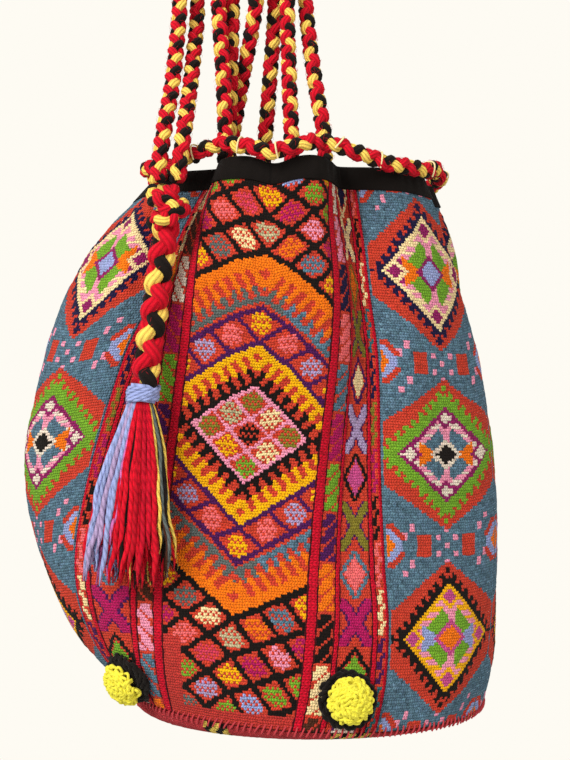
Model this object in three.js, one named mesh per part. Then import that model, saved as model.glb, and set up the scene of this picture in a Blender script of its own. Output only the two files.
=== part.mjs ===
import * as THREE from 'three';

// Woven drawstring backpack, hanging from its four strap loops.
// Millimetres, +Z up, the front faces -Y, and the origin is the point it hangs from.

// Cloth widths, measured around the bag from the middle of the front
const STRIP_WIDTH = 102; // wide lozenge strip in the middle of the front and the back
const BAND_GROUP = 66; // stripes and narrow bands beside each strip
const SIDE_PANEL = 211; // side panel, two columns of medallions wide
const STRIPE_PLACES = [3, 20.8, 52.2]; // centres of the raised stripes in a band group
const STRIPE_HALF = 3; // half the width of a raised stripe
const FRONT_PANEL = STRIP_WIDTH + 2 * BAND_GROUP;
const CLOTH_ROUND = 2 * (FRONT_PANEL + SIDE_PANEL);

// Cloth, seams and clearances
const CLOTH_THICK = 4;
const GAP = 0.3; // clearance wherever two pieces touch
const RELIEF = 1; // height of the raised stripes and lozenges
const RING_PITCH = 34.7; // spacing of the lozenge rings on the wide strips
const MEDALLION_PITCH = 142; // height from one medallion to the next

// Heights
const RIM_HEIGHT = -177; // mean height of the rim
const RIM_TILT = 1.5; // the rim is lower at the front
const RIM_WAVE = 5.5; // and higher at the front and back than at the sides
const SEAM_HEIGHT = -572; // mean height of the seam between wall and base
const SEAM_TILT = 8; // the seam is lower at the right
const BASE_DROP = 14; // from the seam's mean height to the flat underside of the base
const FLAT_HEIGHT = SEAM_HEIGHT - BASE_DROP;
const WALL_ROWS = 20;
const SIDE_COLUMNS = 16;
const STRIP_COLUMNS = 6;

// Black binding folded over the rim
const BINDING_HIGH = 14;
const BINDING_THICK = 1.4;
const BINDING_GAP = 0.7; // from the cloth to the binding on either side

// Braided cords
const STRAP_WIDE = 12.5;
const RIM_CORD_WIDE = 12.5;
const TASSEL_CORD_WIDE = 20;

// Base
const BASE_THICK = 4;
const BASE_ROLL = 20; // width of the rolled edge outside the flat underside

// Tassel at the front left
const KNOT_RADIUS = 17;
const KNOT_PLACE = { u: -90, v: 0.085 };
const KNOT_STAND_OFF = 2; // from the knot to the cloth, clear of the fold behind it
const TASSEL_LEAN = 6; // how far the tassel's foot lies in front of the knot's middle
const TASSEL_SLANT = -14; // how far its foot lies to the left of the knot
const TASSEL_CORD_LONG = 106;
const TIE_WIDE = 24;
const TIE_HIGH = 12;
const TIE_EDGE = 2; // height of the rounding at its top and foot
const SKIRT_LONG = 136;
const SKIRT_WIDE = 70;
const SKIRT_THICK = 26;
const SKIRT_DRIFT = 12; // how far its foot lies to the left of the tie
const SKIRT_LEAN = 1; // and in front of it

// Pompoms at the foot of the diamond bands
const POMPOM_PLACE = 36.5; // from the edge of the strip to the pompom's middle
const POMPOM_LEVEL = 0.945;
const FRILL_RADIUS = 20;
const FRILL_THICK = 6;
const POMPOM_RADIUS = 17;
const POMPOM_HIGH = 13;

// Shape of the hanging bag at levels from the rim (0) to the base seam (1):
// left and right outlines, where the strip's middle lies, fold depths and gathering
const LEVELS = [0, 0.12, 0.22, 0.35, 0.56, 0.72, 0.82, 0.92, 1];
const LEFT = [-103, -148, -174, -191, -201, -193, -177, -152, -120];
const RIGHT = [117, 136, 144, 155, 165, 165, 163, 161, 153];
const MIDDLE = [-9, -12, -14, -19, -29, -35, -37, -39, -41];
const RIGHT_FOLD = [34, 30, 24, 15, 8, 3, 0, 0, 0];
const LEFT_FOLD = [30, 22, 14, 6, 2, 0, 0, 0, 0];
const SIDE_FOLD = [34, 24, 14, 6, 1, 0, 0, 0, 0];
const BACK_FOLD = [30, 24, 16, 8, 2, 0, 0, 0, 0];
const GATHER = [0.92, 0.97, 1, 1, 1, 1, 1, 0.97, 0.91];
const FOLD_WIDE = 72;
// Cloth taken up beside the front folds: how far each side panel is drawn towards the strip.
// The draw grows from DRAW_FROM to DRAW_FULL, holds to DRAW_HOLD and fades out at the back seam.
const RIGHT_DRAW = [20, 20, 23, 21, 15, 9, 5, 2, 0];
const LEFT_DRAW = [30, 30, 29, 15, 0, -9, -10, -6, 0];
const DRAW_FROM = 70;
const DRAW_FULL = FRONT_PANEL / 2 - 4;
const DRAW_HOLD = 175;
const SECTION_SAMPLES = 720;

const bindingLevel = BINDING_HIGH / (RIM_HEIGHT - SEAM_HEIGHT);

// Smooth curve through the values of one row of the shape table
function along(values, level) {
  const last = LEVELS.length - 1;
  const v = THREE.MathUtils.clamp(level, 0, 1);
  let i = 0;
  while (i < last - 1 && v > LEVELS[i + 1]) i += 1;
  const slope = (k) => {
    const a = Math.max(k - 1, 0);
    const b = Math.min(k + 1, last);
    return (values[b] - values[a]) / (LEVELS[b] - LEVELS[a]);
  };
  const span = LEVELS[i + 1] - LEVELS[i];
  const t = (v - LEVELS[i]) / span;
  const rise = values[i + 1] - values[i];
  const hermite = (2 * t - 3) * t * t * -rise;
  const ends = t * (1 - t) * ((1 - t) * slope(i) - t * slope(i + 1)) * span;
  return values[i] + hermite + ends;
}

// Cloth that one flank of a fold takes up beyond its half width
function foldFlank(depth) {
  return Math.hypot(FOLD_WIDE / 2, depth) - FOLD_WIDE / 2;
}

// Folds at one level: their depth and their place around the smooth oval
function foldsAt(level) {
  const gather = along(GATHER, level);
  const bandMiddle = (STRIP_WIDTH + BAND_GROUP) / 2;
  const sideMiddle = (FRONT_PANEL + SIDE_PANEL) / 2;
  const half = CLOTH_ROUND / 2;
  const folds = [];
  for (const side of [1, -1]) {
    const front = Math.max(along(side > 0 ? RIGHT_FOLD : LEFT_FOLD, level), 0);
    const middle = Math.max(along(SIDE_FOLD, level), 0);
    const back = Math.max(along(BACK_FOLD, level), 0);
    let used = 0;
    for (const [place, depth] of [[bandMiddle, front], [sideMiddle, middle], [half - bandMiddle, back]]) {
      const flank = foldFlank(depth);
      folds.push({ at: side * (place * gather - used - flank), depth, flank });
      used += 2 * flank;
    }
  }
  return folds;
}

// Half depth of an oval from its half width and its length round
function ovalDepth(halfWidth, round) {
  let low = 5;
  let high = round / 2;
  for (let i = 0; i < 40; i += 1) {
    const b = (low + high) / 2;
    const h = ((halfWidth - b) / (halfWidth + b)) ** 2;
    const length = Math.PI * (halfWidth + b) * (1 + (3 * h) / (10 + Math.sqrt(4 - 3 * h)));
    if (length < round) low = b;
    else high = b;
  }
  return (low + high) / 2;
}

// One level section: an oval with its folds pressed in, and the length along it.
// share scales the folds, so that a cord can bridge them.
const sections = new Map();
function section(level, share = 1) {
  const key = `${level.toFixed(6)} ${share}`;
  if (sections.has(key)) return sections.get(key);
  const left = along(LEFT, level);
  const right = along(RIGHT, level);
  const folds = foldsAt(level);
  const taken = folds.reduce((sum, fold) => sum + 2 * fold.flank, 0);
  const halfWidth = (right - left) / 2;
  const centre = (right + left) / 2;
  const halfDepth = ovalDepth(halfWidth, CLOTH_ROUND * along(GATHER, level) - taken);
  const start = Math.asin((along(MIDDLE, level) - centre) / halfWidth);
  const oval = [];
  for (let i = 0; i <= SECTION_SAMPLES; i += 1) {
    const angle = start + (2 * Math.PI * i) / SECTION_SAMPLES;
    oval.push([centre + halfWidth * Math.sin(angle), -halfDepth * Math.cos(angle), angle]);
  }
  const arc = [0];
  for (let i = 1; i < oval.length; i += 1) {
    arc.push(arc[i - 1] + Math.hypot(oval[i][0] - oval[i - 1][0], oval[i][1] - oval[i - 1][1]));
  }
  const round = arc[SECTION_SAMPLES];
  const points = oval.map(([x, y, angle], i) => {
    let press = 0;
    for (const fold of folds) {
      let away = Math.abs(arc[i] - fold.at) % round;
      away = Math.min(away, round - away);
      if (away < FOLD_WIDE / 2) press += share * fold.depth * Math.cos((Math.PI * away) / FOLD_WIDE) ** 2;
    }
    const nx = halfDepth * Math.sin(angle);
    const ny = -halfWidth * Math.cos(angle);
    const long = Math.hypot(nx, ny);
    return [x - (press * nx) / long, y - (press * ny) / long];
  });
  const lengths = [0];
  for (let i = 1; i < points.length; i += 1) {
    const step = Math.hypot(points[i][0] - points[i - 1][0], points[i][1] - points[i - 1][1]);
    lengths.push(lengths[i - 1] + step);
  }
  const made = { points, lengths };
  sections.set(key, made);
  return made;
}

// Height of the rim and of the base seam around the bag
function rimHeight(u) {
  const turn = (2 * Math.PI * u) / CLOTH_ROUND;
  return RIM_HEIGHT - RIM_TILT * Math.cos(turn) + RIM_WAVE * Math.cos(2 * turn);
}

function seamHeight(u) {
  return SEAM_HEIGHT - SEAM_TILT * Math.sin((2 * Math.PI * u) / CLOTH_ROUND + 0.3);
}

// Point on the outer face of the cloth, u around the bag and level down it
function clothPoint(u, level, share = 1) {
  const { points, lengths } = section(level, share);
  const total = lengths[SECTION_SAMPLES];
  const target = (THREE.MathUtils.euclideanModulo(u, CLOTH_ROUND) / CLOTH_ROUND) * total;
  let low = 0;
  let high = SECTION_SAMPLES;
  while (high - low > 1) {
    const mid = (low + high) >> 1;
    if (lengths[mid] <= target) low = mid;
    else high = mid;
  }
  const t = (target - lengths[low]) / (lengths[high] - lengths[low]);
  const x = points[low][0] + t * (points[high][0] - points[low][0]);
  const y = points[low][1] + t * (points[high][1] - points[low][1]);
  return new THREE.Vector3(x, y, THREE.MathUtils.lerp(rimHeight(u), seamHeight(u), level));
}

// Where a place of the woven panels lies once the folds have taken up their cloth
function drawn(u, level) {
  const turn = THREE.MathUtils.euclideanModulo(u, CLOTH_ROUND);
  const side = turn < CLOTH_ROUND / 2 ? 1 : -1;
  const away = side > 0 ? turn : CLOTH_ROUND - turn;
  const backSeam = (CLOTH_ROUND - FRONT_PANEL) / 2;
  const grown = (away - DRAW_FROM) / (DRAW_FULL - DRAW_FROM);
  const faded = (backSeam - away) / (backSeam - DRAW_HOLD);
  const share = THREE.MathUtils.clamp(Math.min(grown, faded), 0, 1);
  const draw = along(side > 0 ? RIGHT_DRAW : LEFT_DRAW, Math.max(level, bindingLevel));
  return u - side * share * draw;
}

// Direction out of the cloth
function clothOut(u, level, share = 1) {
  const du = 1.5;
  const dv = 0.01;
  const across = clothPoint(u + du, level, share).sub(clothPoint(u - du, level, share));
  const below = Math.min(level + dv, 1);
  const above = Math.max(level - dv, 0);
  const down = clothPoint(u, below, share).sub(clothPoint(u, above, share));
  return down.cross(across).normalize();
}

function levelOut(u, level, share = 1) {
  return clothOut(u, level, share).setZ(0).normalize();
}

// The edges of the cloth stand square to it seen from above, as the binding and the base do
function edgeOut(u, level) {
  return level <= bindingLevel || level >= 1 ? levelOut(u, level) : clothOut(u, level);
}

// Geometry from points and triangles
function bodyFrom(points, faces) {
  const geometry = new THREE.BufferGeometry();
  const flat = new Float32Array(points.length * 3);
  points.forEach((p, i) => p.toArray(flat, i * 3));
  geometry.setAttribute('position', new THREE.BufferAttribute(flat, 3));
  geometry.setIndex(faces);
  geometry.computeVertexNormals();
  return geometry;
}

const object = new THREE.Group();

function add(name, geometry, colour, roughness = 0.95) {
  const material = new THREE.MeshStandardMaterial({ color: colour, roughness, metalness: 0 });
  const mesh = new THREE.Mesh(geometry, material);
  mesh.name = name;
  object.add(mesh);
  return mesh;
}

// Closed shell of cloth over a grid of places, with its relief on the outer face
function clothShell(us, levels, relief) {
  const points = [];
  const outer = [];
  const inner = [];
  us.forEach((u, i) => {
    outer.push([]);
    inner.push([]);
    levels.forEach((level) => {
      const place = drawn(u, level);
      const out = edgeOut(place, level);
      const p = clothPoint(place, level);
      outer[i].push(points.push(p.clone().addScaledVector(out, relief(u, level))) - 1);
      inner[i].push(points.push(p.addScaledVector(out, -CLOTH_THICK)) - 1);
    });
  });
  const faces = [];
  const quad = (a, b, c, d) => faces.push(a, b, c, a, c, d);
  const right = us.length - 1;
  const foot = levels.length - 1;
  for (let i = 0; i < right; i += 1) {
    for (let j = 0; j < foot; j += 1) {
      quad(outer[i][j], outer[i][j + 1], outer[i + 1][j + 1], outer[i + 1][j]);
      quad(inner[i + 1][j], inner[i + 1][j + 1], inner[i][j + 1], inner[i][j]);
    }
    quad(outer[i][0], outer[i + 1][0], inner[i + 1][0], inner[i][0]);
    quad(outer[i][foot], inner[i][foot], inner[i + 1][foot], outer[i + 1][foot]);
  }
  for (let j = 0; j < foot; j += 1) {
    quad(outer[0][j], inner[0][j], inner[0][j + 1], outer[0][j + 1]);
    quad(outer[right][j], outer[right][j + 1], inner[right][j + 1], inner[right][j]);
  }
  return bodyFrom(points, faces);
}

// Woven walls
const wallLevels = [0, bindingLevel];
for (let row = 1; row <= WALL_ROWS; row += 1) {
  wallLevels.push(THREE.MathUtils.lerp(bindingLevel, 1, row / WALL_ROWS));
}

// Columns of a front or back panel, closer together at the raised stripes
function panelColumns(middle) {
  const half = [];
  for (let k = 1; k <= STRIP_COLUMNS / 2; k += 1) half.push((k * STRIP_WIDTH) / STRIP_COLUMNS);
  for (const place of STRIPE_PLACES) {
    const at = STRIP_WIDTH / 2 + place;
    if (place > STRIPE_HALF) half.push(at - STRIPE_HALF);
    half.push(at, at + STRIPE_HALF);
  }
  half.push(STRIP_WIDTH / 2 + (STRIPE_PLACES[1] + STRIPE_PLACES[2]) / 2);
  half.push(FRONT_PANEL / 2 - GAP / 2);
  half.sort((a, b) => a - b);
  return [...half.map((x) => middle - x).reverse(), middle, ...half.map((x) => middle + x)];
}

function sideColumns(middle) {
  const half = SIDE_PANEL / 2 - GAP / 2;
  return Array.from({ length: SIDE_COLUMNS + 1 }, (_, i) => middle - half + (2 * half * i) / SIDE_COLUMNS);
}

// Raised stripes, and lozenge rings on the wide strip
function stripRelief(middle) {
  return (u, level) => {
    if (level <= bindingLevel || level >= 1) return 0;
    const x = Math.abs(u - middle);
    const high = (level - 0.64) * (RIM_HEIGHT - SEAM_HEIGHT);
    if (x < STRIP_WIDTH / 2 - 1) {
      const ring = (Math.abs(high) + 0.9 * x) / RING_PITCH;
      return RELIEF * (0.5 + 0.5 * Math.cos(2 * Math.PI * ring));
    }
    const raised = STRIPE_PLACES.some((place) => Math.abs(x - STRIP_WIDTH / 2 - place) < 0.5);
    return raised ? RELIEF : 0;
  };
}

// Raised medallions in two columns
function sideRelief(middle) {
  return (u, level) => {
    if (level <= bindingLevel || level >= 1) return 0;
    const column = Math.abs(Math.abs(u - middle) - SIDE_PANEL / 4) / (SIDE_PANEL / 4);
    const high = (level - 0.24) * (RIM_HEIGHT - SEAM_HEIGHT);
    const row = Math.abs(high / MEDALLION_PITCH - Math.round(high / MEDALLION_PITCH)) * 2;
    return RELIEF * THREE.MathUtils.clamp(2 - 2 * (column + row), 0, 1);
  };
}

const half = CLOTH_ROUND / 2;
const sideMiddle = (FRONT_PANEL + SIDE_PANEL) / 2;
const walls = [
  ['front_panel', panelColumns(0), stripRelief(0), 0xb8392f],
  ['right_panel', sideColumns(sideMiddle), sideRelief(sideMiddle), 0x4d7488],
  ['back_panel', panelColumns(half), stripRelief(half), 0xb8392f],
  ['left_panel', sideColumns(CLOTH_ROUND - sideMiddle), sideRelief(CLOTH_ROUND - sideMiddle), 0x4d7488],
];
for (const [name, columns, relief, colour] of walls) {
  add(name, clothShell(columns, wallLevels, relief), colour);
}

// Ring whose section changes around the bag, closed both ways
function ring(us, sectionPoints) {
  const points = [];
  us.forEach((u) => points.push(...sectionPoints(u)));
  const around = us.length;
  const sides = points.length / around;
  const faces = [];
  for (let i = 0; i < around; i += 1) {
    const next = (i + 1) % around;
    for (let k = 0; k < sides; k += 1) {
      const up = (k + 1) % sides;
      const [a, b] = [i * sides + k, next * sides + k];
      const [c, d] = [next * sides + up, i * sides + up];
      faces.push(a, b, c, a, c, d);
    }
  }
  return bodyFrom(points, faces);
}

// Binding: a strip folded over the top edge of the walls
const bindingPlaces = walls.flatMap(([, columns]) => columns).sort((a, b) => a - b);
add('rim_binding', ring(bindingPlaces, (u) => {
  const outside = BINDING_GAP + BINDING_THICK;
  const lift = (height) => new THREE.Vector3(0, 0, height);
  const at = (level, out, height = 0) => {
    const place = drawn(u, level);
    return clothPoint(place, level).addScaledVector(edgeOut(place, level), out).add(lift(height));
  };
  return [
    at(0, outside, outside),
    at(0, -CLOTH_THICK - outside, outside),
    at(bindingLevel, -CLOTH_THICK - outside),
    at(bindingLevel, -CLOTH_THICK - BINDING_GAP),
    at(0, -CLOTH_THICK - BINDING_GAP, GAP),
    at(0, BINDING_GAP, GAP),
    at(bindingLevel, BINDING_GAP),
    at(bindingLevel, outside),
  ];
}), 0x151310);

// Base: a red woven oval with a rolled edge and a flat underside
const BASE_PLACES = 48;
const BASE_RINGS = [
  [0, 0], [0.12, 0.45], [0.45, 0.85], [1, 1],
];
function baseBody() {
  const us = Array.from({ length: BASE_PLACES }, (_, i) => (i * CLOTH_ROUND) / BASE_PLACES);
  const points = [];
  const loops = [];
  const loop = (inset, heightAt) => {
    loops.push(us.map((u) => {
      const p = clothPoint(u, 1).addScaledVector(levelOut(u, 1), -inset);
      p.z = heightAt(u);
      return points.push(p) - 1;
    }));
  };
  for (const [inward, down] of BASE_RINGS) {
    loop(inward * BASE_ROLL, (u) => THREE.MathUtils.lerp(seamHeight(u) - GAP, FLAT_HEIGHT, down));
  }
  const under = points.push(new THREE.Vector3(along(MIDDLE, 1) / 2, 0, FLAT_HEIGHT)) - 1;
  const underLoop = loops.length - 1;
  loop(BASE_ROLL + BASE_THICK, () => FLAT_HEIGHT + BASE_THICK);
  loop(BASE_THICK, (u) => seamHeight(u) - GAP);
  const over = points.push(new THREE.Vector3(along(MIDDLE, 1) / 2, 0, FLAT_HEIGHT + BASE_THICK)) - 1;
  const faces = [];
  const strip = (outerLoop, innerLoop) => {
    for (let i = 0; i < BASE_PLACES; i += 1) {
      const n = (i + 1) % BASE_PLACES;
      faces.push(outerLoop[i], innerLoop[i], innerLoop[n], outerLoop[i], innerLoop[n], outerLoop[n]);
    }
  };
  const [insideLow, insideHigh] = [loops[underLoop + 1], loops[underLoop + 2]];
  for (let k = 0; k < underLoop; k += 1) strip(loops[k], loops[k + 1]);
  strip(insideLow, insideHigh);
  strip(insideHigh, loops[0]);
  for (let i = 0; i < BASE_PLACES; i += 1) {
    const n = (i + 1) % BASE_PLACES;
    faces.push(under, loops[underLoop][n], loops[underLoop][i]);
    faces.push(over, insideLow[i], insideLow[n]);
  }
  return bodyFrom(points, faces);
}
add('base', baseBody(), 0xa82a2a);

// Wavy braided cord sewn along the rim: it bridges the folds of the cloth.
// Each point is a place around the bag and how far the cord climbs over the edge.
const RIM_CORD_BRIDGE = 0.15; // share of each fold's depth that the cord follows
const RIM_CORD_GAP = 1.8; // from the binding to the cord
const RIM_CORD_SIDES = 8;
const RIM_CORD_PLACES = 72;
const RIM_CORD_WAVE = [
  [0, 0.1], [18, 0.3], [45, 0.85], [80, 0.35], [115, 0.1], [150, 0.15], [185, 0.5], [225, 0.95],
  [265, 0.5], [305, 0.15], [345, 0.6], [385, 0.95], [425, 0.5], [460, 0.15], [500, 0.6], [540, 0.95],
  [580, 0.4], [620, 0.1], [660, 0.5], [700, 0.9], [740, 0.45], [775, 0.15], [810, 0.4], [840, 0.85],
  [868, 0.4],
];
function rimCordLift(u) {
  const waves = RIM_CORD_WAVE.length;
  let i = 0;
  while (i < waves - 1 && RIM_CORD_WAVE[i + 1][0] <= u) i += 1;
  const [u0, lift0] = RIM_CORD_WAVE[i];
  const [u1, lift1] = i === waves - 1 ? [CLOTH_ROUND, RIM_CORD_WAVE[0][1]] : RIM_CORD_WAVE[i + 1];
  return THREE.MathUtils.lerp(lift0, lift1, THREE.MathUtils.smoothstep(u, u0, u1));
}
function rimCordCentre(u) {
  const out = levelOut(u, 0, RIM_CORD_BRIDGE);
  const reach = CLOTH_THICK / 2 + BINDING_THICK + BINDING_GAP + RIM_CORD_GAP + RIM_CORD_WIDE / 2;
  const angle = (Math.PI / 2) * rimCordLift(u);
  const p = clothPoint(u, 0, RIM_CORD_BRIDGE).addScaledVector(out, -CLOTH_THICK / 2);
  p.addScaledVector(out, reach * Math.cos(angle));
  p.z += reach * Math.sin(angle);
  return p;
}
const cordPlaces = Array.from({ length: RIM_CORD_PLACES }, (_, i) => (i * CLOTH_ROUND) / RIM_CORD_PLACES);
add('rim_cord', ring(cordPlaces, (u) => {
  const centre = rimCordCentre(u);
  const out = levelOut(u, 0, RIM_CORD_BRIDGE);
  return Array.from({ length: RIM_CORD_SIDES }, (_, k) => {
    const angle = (2 * Math.PI * k) / RIM_CORD_SIDES;
    const p = centre.clone().addScaledVector(out, (RIM_CORD_WIDE / 2) * Math.cos(angle));
    p.z += (RIM_CORD_WIDE / 2) * Math.sin(angle);
    return p;
  });
}), 0xc8102a);

// Tube with flat ends along a smooth path
function tube(route, width, sides, steps) {
  const path = new THREE.CatmullRomCurve3(route.map((p) => new THREE.Vector3(...p)), false, 'centripetal');
  const outline = new THREE.Shape();
  for (let k = 0; k < sides; k += 1) {
    const angle = (2 * Math.PI * k) / sides;
    const [x, y] = [(width / 2) * Math.cos(angle), (width / 2) * Math.sin(angle)];
    if (k === 0) outline.moveTo(x, y);
    else outline.lineTo(x, y);
  }
  return new THREE.ExtrudeGeometry(outline, { steps, extrudePath: path, bevelEnabled: false });
}

// Four strap loops: each goes up from the rim, turns over and comes down again
const STRAP_SIDES = 8;
const STRAP_STEPS = 30;
const STRAPS = [
  [
    [-90.5, -106.3, -190.7], [-87, -88, -150], [-83.4, -66, -117], [-80, -32, -50], [-79.8, -30, -22],
    [-75.6, -30, -6], [-65.4, -30, 0], [-55.1, -30, -6], [-51, -30, -22],
    [-50.5, -32, -45], [-46, -55, -104], [-44, -67, -147], [-44, -71, -172],
  ],
  [
    [-76.3, -104.5, -190], [-73, -95, -158], [-70, -56, -110], [-67.5, -16, -50], [-67, -14, -22],
    [-63, -14, -6], [-53.7, -14, 0], [-44.4, -14, -6], [-40.4, -14, -22],
    [-40.4, -19, -45], [-41, -39.5, -104], [-41.5, -53, -147], [-42.5, -57.8, -172],
  ],
  [
    [-42.5, -44.6, -172], [-40, -39, -150], [-32, -26, -100], [-22, -29, -45], [-20.5, -30, -20],
    [-17.3, -30, -5], [-9.5, -30, 0], [-1.7, -30, -5], [1.5, -30, -20],
    [1.6, -33, -45], [3, -50, -104], [4.5, -66, -147], [5, -71, -172],
  ],
  [
    [-17, -34, -172], [-15, -30, -147], [-11.5, -22, -100], [-7.8, -15, -45], [-7.6, -14, -20],
    [-4.3, -14, -5], [3.9, -14, 0], [12, -14, -5], [15.3, -14, -20],
    [16, -18, -45], [22, -44, -104], [28, -64.3, -147], [30, -71.4, -172],
  ],
];
STRAPS.forEach((route, i) => {
  add(`strap_loop_${i + 1}`, tube(route, STRAP_WIDE, STRAP_SIDES, STRAP_STEPS), 0xc8102a);
});

// Knot, cord, tie and skirt of the tassel, which hangs against the bag
const knotOut = levelOut(KNOT_PLACE.u, KNOT_PLACE.v, 0);
const knotMiddle = clothPoint(KNOT_PLACE.u, KNOT_PLACE.v, 0);
knotMiddle.y -= (KNOT_RADIUS + KNOT_STAND_OFF) / Math.abs(knotOut.y);
const knot = add('tassel_knot', new THREE.SphereGeometry(KNOT_RADIUS, 16, 12), 0xc8102a);
knot.position.copy(knotMiddle);

const hangFrom = knotMiddle.z - KNOT_RADIUS - GAP;
const leanAt = (z) => (TASSEL_LEAN * (knotMiddle.z - z)) / TASSEL_CORD_LONG;
const slantAt = (z) => (TASSEL_SLANT * (knotMiddle.z - z)) / TASSEL_CORD_LONG;
const hangPoint = (z) => [knotMiddle.x + slantAt(z), knotMiddle.y - leanAt(z), z];
const cordFoot = hangFrom - TASSEL_CORD_LONG;
const cordRoute = [hangFrom, (hangFrom + cordFoot) / 2, cordFoot].map(hangPoint);
add('tassel_cord', tube(cordRoute, TASSEL_CORD_WIDE, 10, 12), 0xc8102a);

// Upright body with rings of points at given heights and flat ends
function stackedBody(heights, ringAt) {
  const rings = heights.map(ringAt);
  const sides = rings[0].length;
  const points = rings.flat();
  const faces = [];
  for (let i = 0; i < rings.length - 1; i += 1) {
    for (let k = 0; k < sides; k += 1) {
      const up = (k + 1) % sides;
      const [a, b] = [i * sides + k, i * sides + up];
      faces.push(a, a + sides, b + sides, a, b + sides, b);
    }
  }
  const last = (rings.length - 1) * sides;
  for (let k = 1; k < sides - 1; k += 1) {
    faces.push(0, k, k + 1);
    faces.push(last, last + k + 1, last + k);
  }
  return bodyFrom(points, faces);
}

const TIE_SIDES = 12;
const cordSlope = Math.hypot(TASSEL_LEAN, TASSEL_SLANT) / TASSEL_CORD_LONG;
const tieTop = cordFoot - GAP - (TASSEL_CORD_WIDE / 2) * cordSlope;
const tieFoot = tieTop - TIE_HIGH;
add('tassel_tie', stackedBody([tieTop, tieTop - TIE_EDGE, tieFoot + TIE_EDGE, tieFoot], (z) => {
  const [x, y] = hangPoint(z);
  const full = z === tieTop || z === tieFoot ? 0.85 : 1;
  return Array.from({ length: TIE_SIDES }, (_, k) => {
    const angle = (2 * Math.PI * k) / TIE_SIDES;
    const [across, deep] = [Math.cos(angle) * full * TIE_WIDE / 2, Math.sin(angle) * full * TIE_WIDE / 2];
    return new THREE.Vector3(x + across, y + deep, z);
  });
}), 0x8fa5dc);

// Skirt of loose yarns: it spreads to the left and thins out, with ridges for the yarns
const SKIRT_SIDES = 24;
const SKIRT_ROWS = 8;
const skirtTop = tieFoot - 2 * GAP;
const skirtHeights = Array.from({ length: SKIRT_ROWS + 1 }, (_, i) => skirtTop - (SKIRT_LONG * i) / SKIRT_ROWS);
add('tassel_skirt', stackedBody(skirtHeights, (z) => {
  const [x, y] = hangPoint(skirtTop);
  const t = (skirtTop - z) / SKIRT_LONG;
  const wide = THREE.MathUtils.lerp(TIE_WIDE * 0.8, SKIRT_WIDE, Math.sin((t * Math.PI) / 2));
  const thick = THREE.MathUtils.lerp(TIE_WIDE * 0.8, SKIRT_THICK, t);
  return Array.from({ length: SKIRT_SIDES }, (_, k) => {
    const angle = (2 * Math.PI * k) / SKIRT_SIDES;
    const ridge = k % 2 === 0 ? 1 : 1 - 0.14 * Math.min(1, 4 * t);
    const across = (wide / 2) * ridge * Math.cos(angle);
    const deep = (thick / 2) * ridge * Math.sin(angle);
    return new THREE.Vector3(x - SKIRT_DRIFT * t + across, y - SKIRT_LEAN * t + deep, z);
  });
}), 0xd0142c);

// Pompoms: a black frill against the cloth and a yellow tuft on it
function domeProfile(radius, high, rows) {
  const profile = [new THREE.Vector2(0, 0), new THREE.Vector2(radius * 0.8, 0)];
  for (let i = 0; i <= rows; i += 1) {
    const angle = (i * Math.PI) / 2 / rows;
    profile.push(new THREE.Vector2(radius * Math.cos(angle), high * (0.25 + 0.75 * Math.sin(angle))));
  }
  profile[profile.length - 1].x = 0;
  return profile;
}
const POMPOM_SIDES = 12;
const frill = new THREE.LatheGeometry(domeProfile(FRILL_RADIUS, FRILL_THICK, 2), POMPOM_SIDES);
const tuft = new THREE.LatheGeometry(domeProfile(POMPOM_RADIUS, POMPOM_HIGH, 3), POMPOM_SIDES);
const pompomOffset = STRIP_WIDTH / 2 + POMPOM_PLACE;
[pompomOffset, -pompomOffset, half - pompomOffset, half + pompomOffset].forEach((u, i) => {
  const out = clothOut(u, POMPOM_LEVEL);
  const upright = new THREE.Quaternion().setFromUnitVectors(new THREE.Vector3(0, 1, 0), out);
  const place = (name, geometry, distance, colour) => {
    const mesh = add(`${name}_${i + 1}`, geometry, colour);
    mesh.position.copy(clothPoint(u, POMPOM_LEVEL).addScaledVector(out, distance));
    mesh.quaternion.copy(upright);
  };
  const frillFoot = RELIEF + GAP;
  place('pompom_frill', frill, frillFoot, 0x151310);
  place('pompom_tuft', tuft, frillFoot + FRILL_THICK + GAP, 0xf4ee3c);
});

export default object;
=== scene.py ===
import math

import bpy
import numpy as np
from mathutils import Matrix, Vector


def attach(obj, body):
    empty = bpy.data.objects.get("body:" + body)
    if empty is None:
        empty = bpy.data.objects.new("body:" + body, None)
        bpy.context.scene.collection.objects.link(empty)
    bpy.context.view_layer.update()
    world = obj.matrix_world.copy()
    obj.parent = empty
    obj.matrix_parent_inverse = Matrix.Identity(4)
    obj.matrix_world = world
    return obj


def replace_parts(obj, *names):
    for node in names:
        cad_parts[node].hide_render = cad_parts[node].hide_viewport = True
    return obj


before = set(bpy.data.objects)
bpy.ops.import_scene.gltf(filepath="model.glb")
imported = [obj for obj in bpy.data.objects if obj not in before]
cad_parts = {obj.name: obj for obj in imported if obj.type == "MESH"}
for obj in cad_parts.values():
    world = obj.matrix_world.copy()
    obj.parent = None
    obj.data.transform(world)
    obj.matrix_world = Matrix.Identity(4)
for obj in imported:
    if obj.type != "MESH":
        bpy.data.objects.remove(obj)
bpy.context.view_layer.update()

rng = np.random.default_rng(7)
MM = 0.001

# Camera: level with the middle of the bag, at the photograph's scale
PHOTO_HIGH = 760
SCALE_AT_BAG = 0.78  # millimetres to a pixel at the bag's outline
CAMERA_AWAY = 1150
CAMERA_HEIGHT = -331.5
FILM_HIGH = 24


def place_object(name, data):
    """A new object of the scene, at the origin."""
    made = bpy.data.objects.new(name, data)
    bpy.context.scene.collection.objects.link(made)
    return made


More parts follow.
